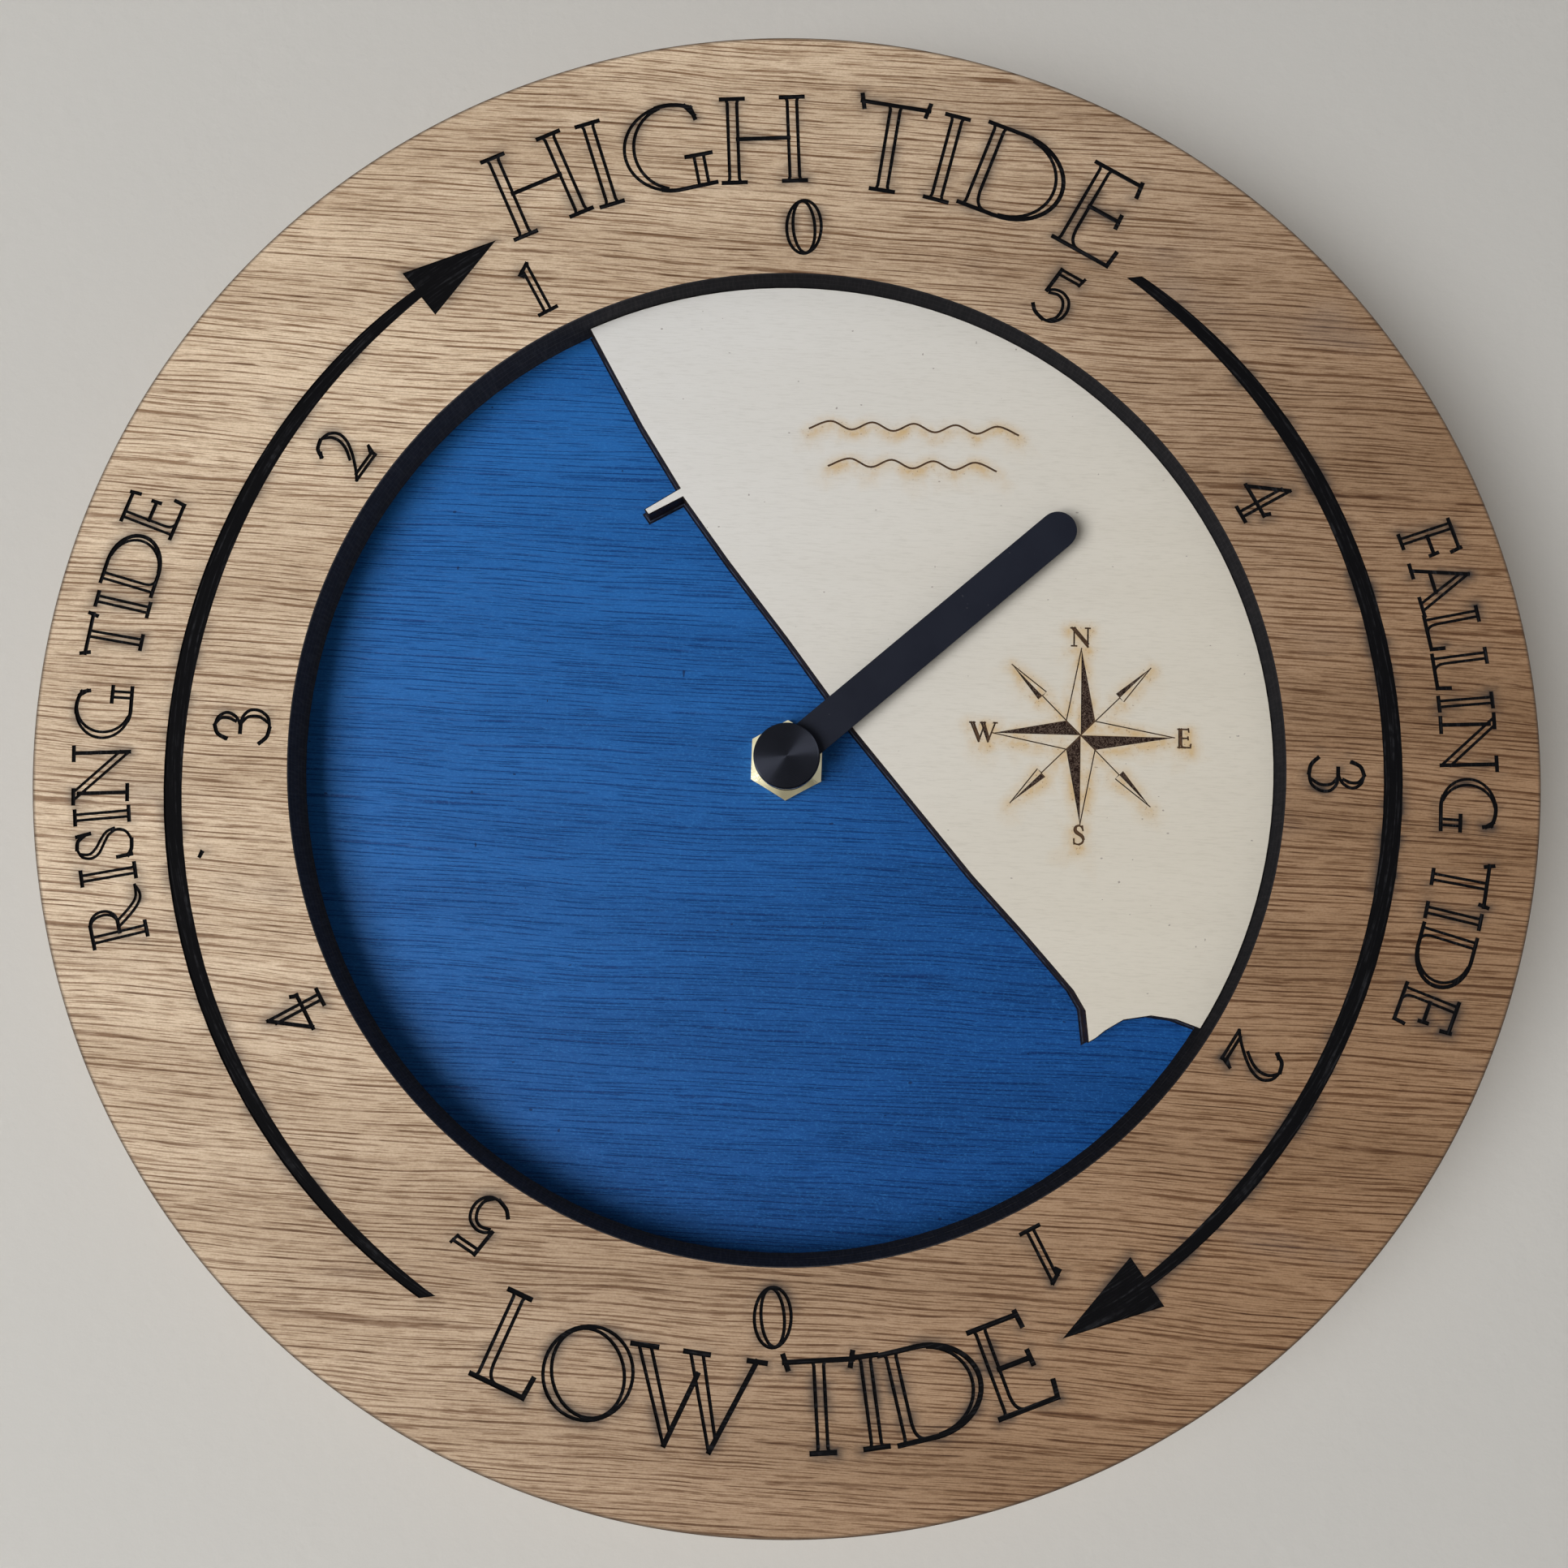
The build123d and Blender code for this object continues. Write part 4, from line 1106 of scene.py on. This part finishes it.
def swept(name, run, profile, look):
    """Strip along a run of places: each profile point is a distance out of the land and a depth."""
    sheet = Sheet()
    rows = []
    for distance, depth in profile:
        moved = []
        for index, place in enumerate(run):
            before = run[max(index - 1, 0)]
            after = run[min(index + 1, len(run) - 1)]
            first = (place - before).normalized() if index else (after - place).normalized()
            second = (after - place).normalized() if index + 1 < len(run) else first
            moved.append(sheet.point(place + mitred(first, second, distance), depth))
        rows.append(moved)
    for front, back in zip(rows, rows[1:] + rows[:1]):
        for index in range(len(run) - 1):
            sheet.face([front[index], back[index], back[index + 1], front[index + 1]])
    sheet.face([row[0] for row in rows])
    sheet.face([row[-1] for row in reversed(rows)])
    return sheet.mesh(name, [look])


run = coast_run()
bead_profile = [(bead_width * across, sea_face + bead_height * up) for across, up in bead_shares]
piece(swept("glue_bead", run, bead_profile, "glue_bead"), "clock_body", "pale_wood")
score_profile = [(score_inner, sea_face), (score_inner, sea_face + score_height),
                 (score_outer, sea_face + score_height), (score_outer, sea_face)]
piece(swept("scored_line", run, score_profile, "scored_line"), "clock_body", "blue_wood")


# Turned cap and nut

def lathe_mesh(name, profile, segments, look):
    """Solid of revolution round the axis, from (radius, depth) points, front to back."""
    sheet = Sheet()
    loops = []
    for radius, depth in profile:
        if radius == 0:
            loops.append([sheet.point((0, 0), depth)] * segments)
        else:
            loops.append([sheet.point(place, depth) for place in circle(radius, segments)])
    for front, back in zip(loops, loops[1:]):
        for index in range(segments):
            following = (index + 1) % segments
            corners = [front[index], back[index], back[following], front[following]]
            corners = [corner for place, corner in enumerate(corners) if corner not in corners[:place]]
            sheet.face(corners)
    return sheet.mesh(name, [look])


cap_radius = (span("hub_cap")[1].x - span("hub_cap")[0].x) / 2
cap_front = -span("hub_cap")[0].y
cap_back = -span("hub_cap")[1].y
cap_ring_pitch = 0.20
cap_ring_depth = 0.018
cap_edge = 0.25
cap_bore = 2.5
cap_plate = 0.8
cap_bore_front = cap_front - cap_plate
cap_segments = 144
cap_samples = 6
cap_steps = int((cap_radius - cap_edge) / cap_ring_pitch * cap_samples)

cap_profile = [(0, cap_front - cap_ring_depth)]
for step in range(1, cap_steps + 1):
    wave = math.cos(2 * math.pi * step / cap_samples)
    cap_profile.append((step * cap_ring_pitch / cap_samples, cap_front - cap_ring_depth * (1 - wave) / 2))
cap_profile += [(cap_radius - cap_edge, cap_front), (cap_radius - cap_edge / 3, cap_front - cap_edge / 3),
                (cap_radius, cap_front - cap_edge), (cap_radius, cap_back), (cap_bore, cap_back),
                (cap_bore, cap_bore_front), (0, cap_bore_front)]
piece(lathe_mesh("spun_cap", cap_profile, cap_segments, "spun_black"), "hand", "black_metal", "hub_cap")

nut_radius = (span("hex_nut")[1].x - span("hex_nut")[0].x) / 2
nut_front = -span("hex_nut")[0].y
nut_bore = 4.0
nut_face_share = 0.88
nut_lead = 0.25
nut_chamfer_angle = 30
nut_slope = math.tan(math.radians(nut_chamfer_angle))
nut_segments = 96
nut_side_angle = 60
nut_face_radius = nut_radius * nut_face_share

nut_sheet = Sheet()
nut_rows = []
for step in range(nut_segments):
    bearing = -360 * step / nut_segments
    across = nut_radius / math.cos(math.radians(bearing % nut_side_angle - nut_side_angle / 2))
    profile = ((nut_bore, nut_front - nut_lead), (nut_bore + nut_lead, nut_front),
               (nut_face_radius, nut_front), (across, nut_front - (across - nut_face_radius) * nut_slope),
               (across, sea_face), (nut_bore, sea_face))
    nut_rows.append([nut_sheet.point(on_dial(bearing, radius), depth) for radius, depth in profile])
nut_loops = list(zip(*nut_rows))
for front, back in zip(nut_loops, nut_loops[1:] + nut_loops[:1]):
    nut_sheet.band(front, back, 0)
piece(nut_sheet.mesh("turned_nut", ["brass"]), "clock_body", "brass", "hex_nut")


# Stage: pale wall and floor, soft light, camera at the photograph's angle

wall_colour = (0.575, 0.562, 0.535)
wall_reach = 1.6
floor_height = -0.9
floor_front = -2 * wall_reach
room_light = 0.17
room_pale = (0.92, 0.91, 0.89)
room_dim = (0.42, 0.42, 0.43)


def stage_look():
    """Matt pale paint with a roller's texture. Seen from behind, the wall lets light and view through."""
    tree = material("stage_paint")
    roller = clouds(tree, (0.30, 0.30, 0.30), 3.0, 0.6)
    darker = [value * 0.985 for value in wall_colour]
    base = blended(clouds(tree, (0.004, 0.004, 0.004)), darker, wall_colour)
    finish_shader(base, 0.9, roller, wall_relief, specular=0.1)
    clear = put(tree, "ShaderNodeBsdfTransparent").outputs[0]
    behind = put(tree, "ShaderNodeNewGeometry").outputs["Backfacing"]
    shadow = put(tree, "ShaderNodeLightPath").outputs["Is Shadow Ray"]
    share = sums("MAXIMUM", behind, shadow)
    paint = tree.nodes["Principled BSDF"].outputs[0]
    mixed = put(tree, "ShaderNodeMixShader", {0: share, 1: paint, 2: clear})
    tree.links.new(mixed.outputs[0], tree.nodes["Material Output"].inputs["Surface"])


stage_mesh = bpy.data.meshes.new("stage")
stage_corners = [(-wall_reach, 0, floor_height), (wall_reach, 0, floor_height), (wall_reach, 0, wall_reach),
                 (-wall_reach, 0, wall_reach), (wall_reach, floor_front, floor_height),
                 (-wall_reach, floor_front, floor_height)]
stage_mesh.from_pydata(stage_corners, [], [(0, 1, 2, 3), (5, 4, 1, 0)])
stage_look()
stage_mesh.materials.append(LOOKS["stage_paint"])
stage = added("stage", stage_mesh)


def room():
    """Pale room, brighter to the left, that adds only a little light of its own."""
    made = bpy.data.worlds.new("room")
    made.use_nodes = True
    tree = made.node_tree
    way = put(tree, "ShaderNodeTexCoord").outputs["Generated"]
    across = put(tree, "ShaderNodeSeparateXYZ", {0: way}).outputs[0]
    seen = covered(room_pale, room_dim, across, -0.9, 0.9)
    path = put(tree, "ShaderNodeLightPath")
    share = sums("MAXIMUM", path.outputs["Is Camera Ray"], path.outputs["Is Glossy Ray"])
    share = sums("MAXIMUM", share, path.outputs["Is Transmission Ray"])
    light = blended(share, [value * room_light for value in room_pale], seen)
    tree.links.new(light, tree.nodes["Background"].inputs["Color"])
    return made


bpy.context.scene.world = room()


# Lamps: bearing on the dial, lean from its axis, distance and size in metres, brightness of white facing it
LAMPS = {"window": (247, 36.5, 2.3, 1.3, 0.74), "back_left": (300, 140, 1.8, 0.9, 0.45),
         "back_right": (60, 135, 1.8, 0.9, 0.30)}


def lamp(name, bearing, lean, distance, size, level):
    """Square area lamp, aimed at the dial's centre."""
    side = on_dial(bearing, math.sin(math.radians(lean)))
    place = Vector((side.x, -math.cos(math.radians(lean)), side.y)) * distance
    light = bpy.data.lights.new(name, "AREA")
    light.size = size
    light.energy = level * math.pi ** 2 * distance ** 2 / abs(math.cos(math.radians(lean)))
    made = added(name, light)
    made.location = place
    made.rotation_mode = "QUATERNION"
    made.rotation_quaternion = (-place).to_track_quat("-Z", "Y")
    made.visible_camera = False


for name, settings in LAMPS.items():
    lamp(name, *settings)

camera_tilt = math.radians(4.74)
camera_roll = math.radians(2.0)
camera_place = Vector((0.384, -261.8, -23.9)) * MM
camera_near = 10 * MM
sensor_width = 36
focal_share = 1729 / 1932

camera = added("camera", bpy.data.cameras.new("camera"))
camera.data.sensor_width = sensor_width
camera.data.lens = sensor_width * focal_share
camera.data.clip_start = camera_near
camera.matrix_world = (Matrix.Translation(camera_place) @ Matrix.Rotation(-camera_roll, 4, "Y")
                       @ Matrix.Rotation(math.pi / 2 + camera_tilt, 4, "X"))
bpy.context.scene.camera = camera
bpy.context.scene.view_settings.view_transform = "Standard"
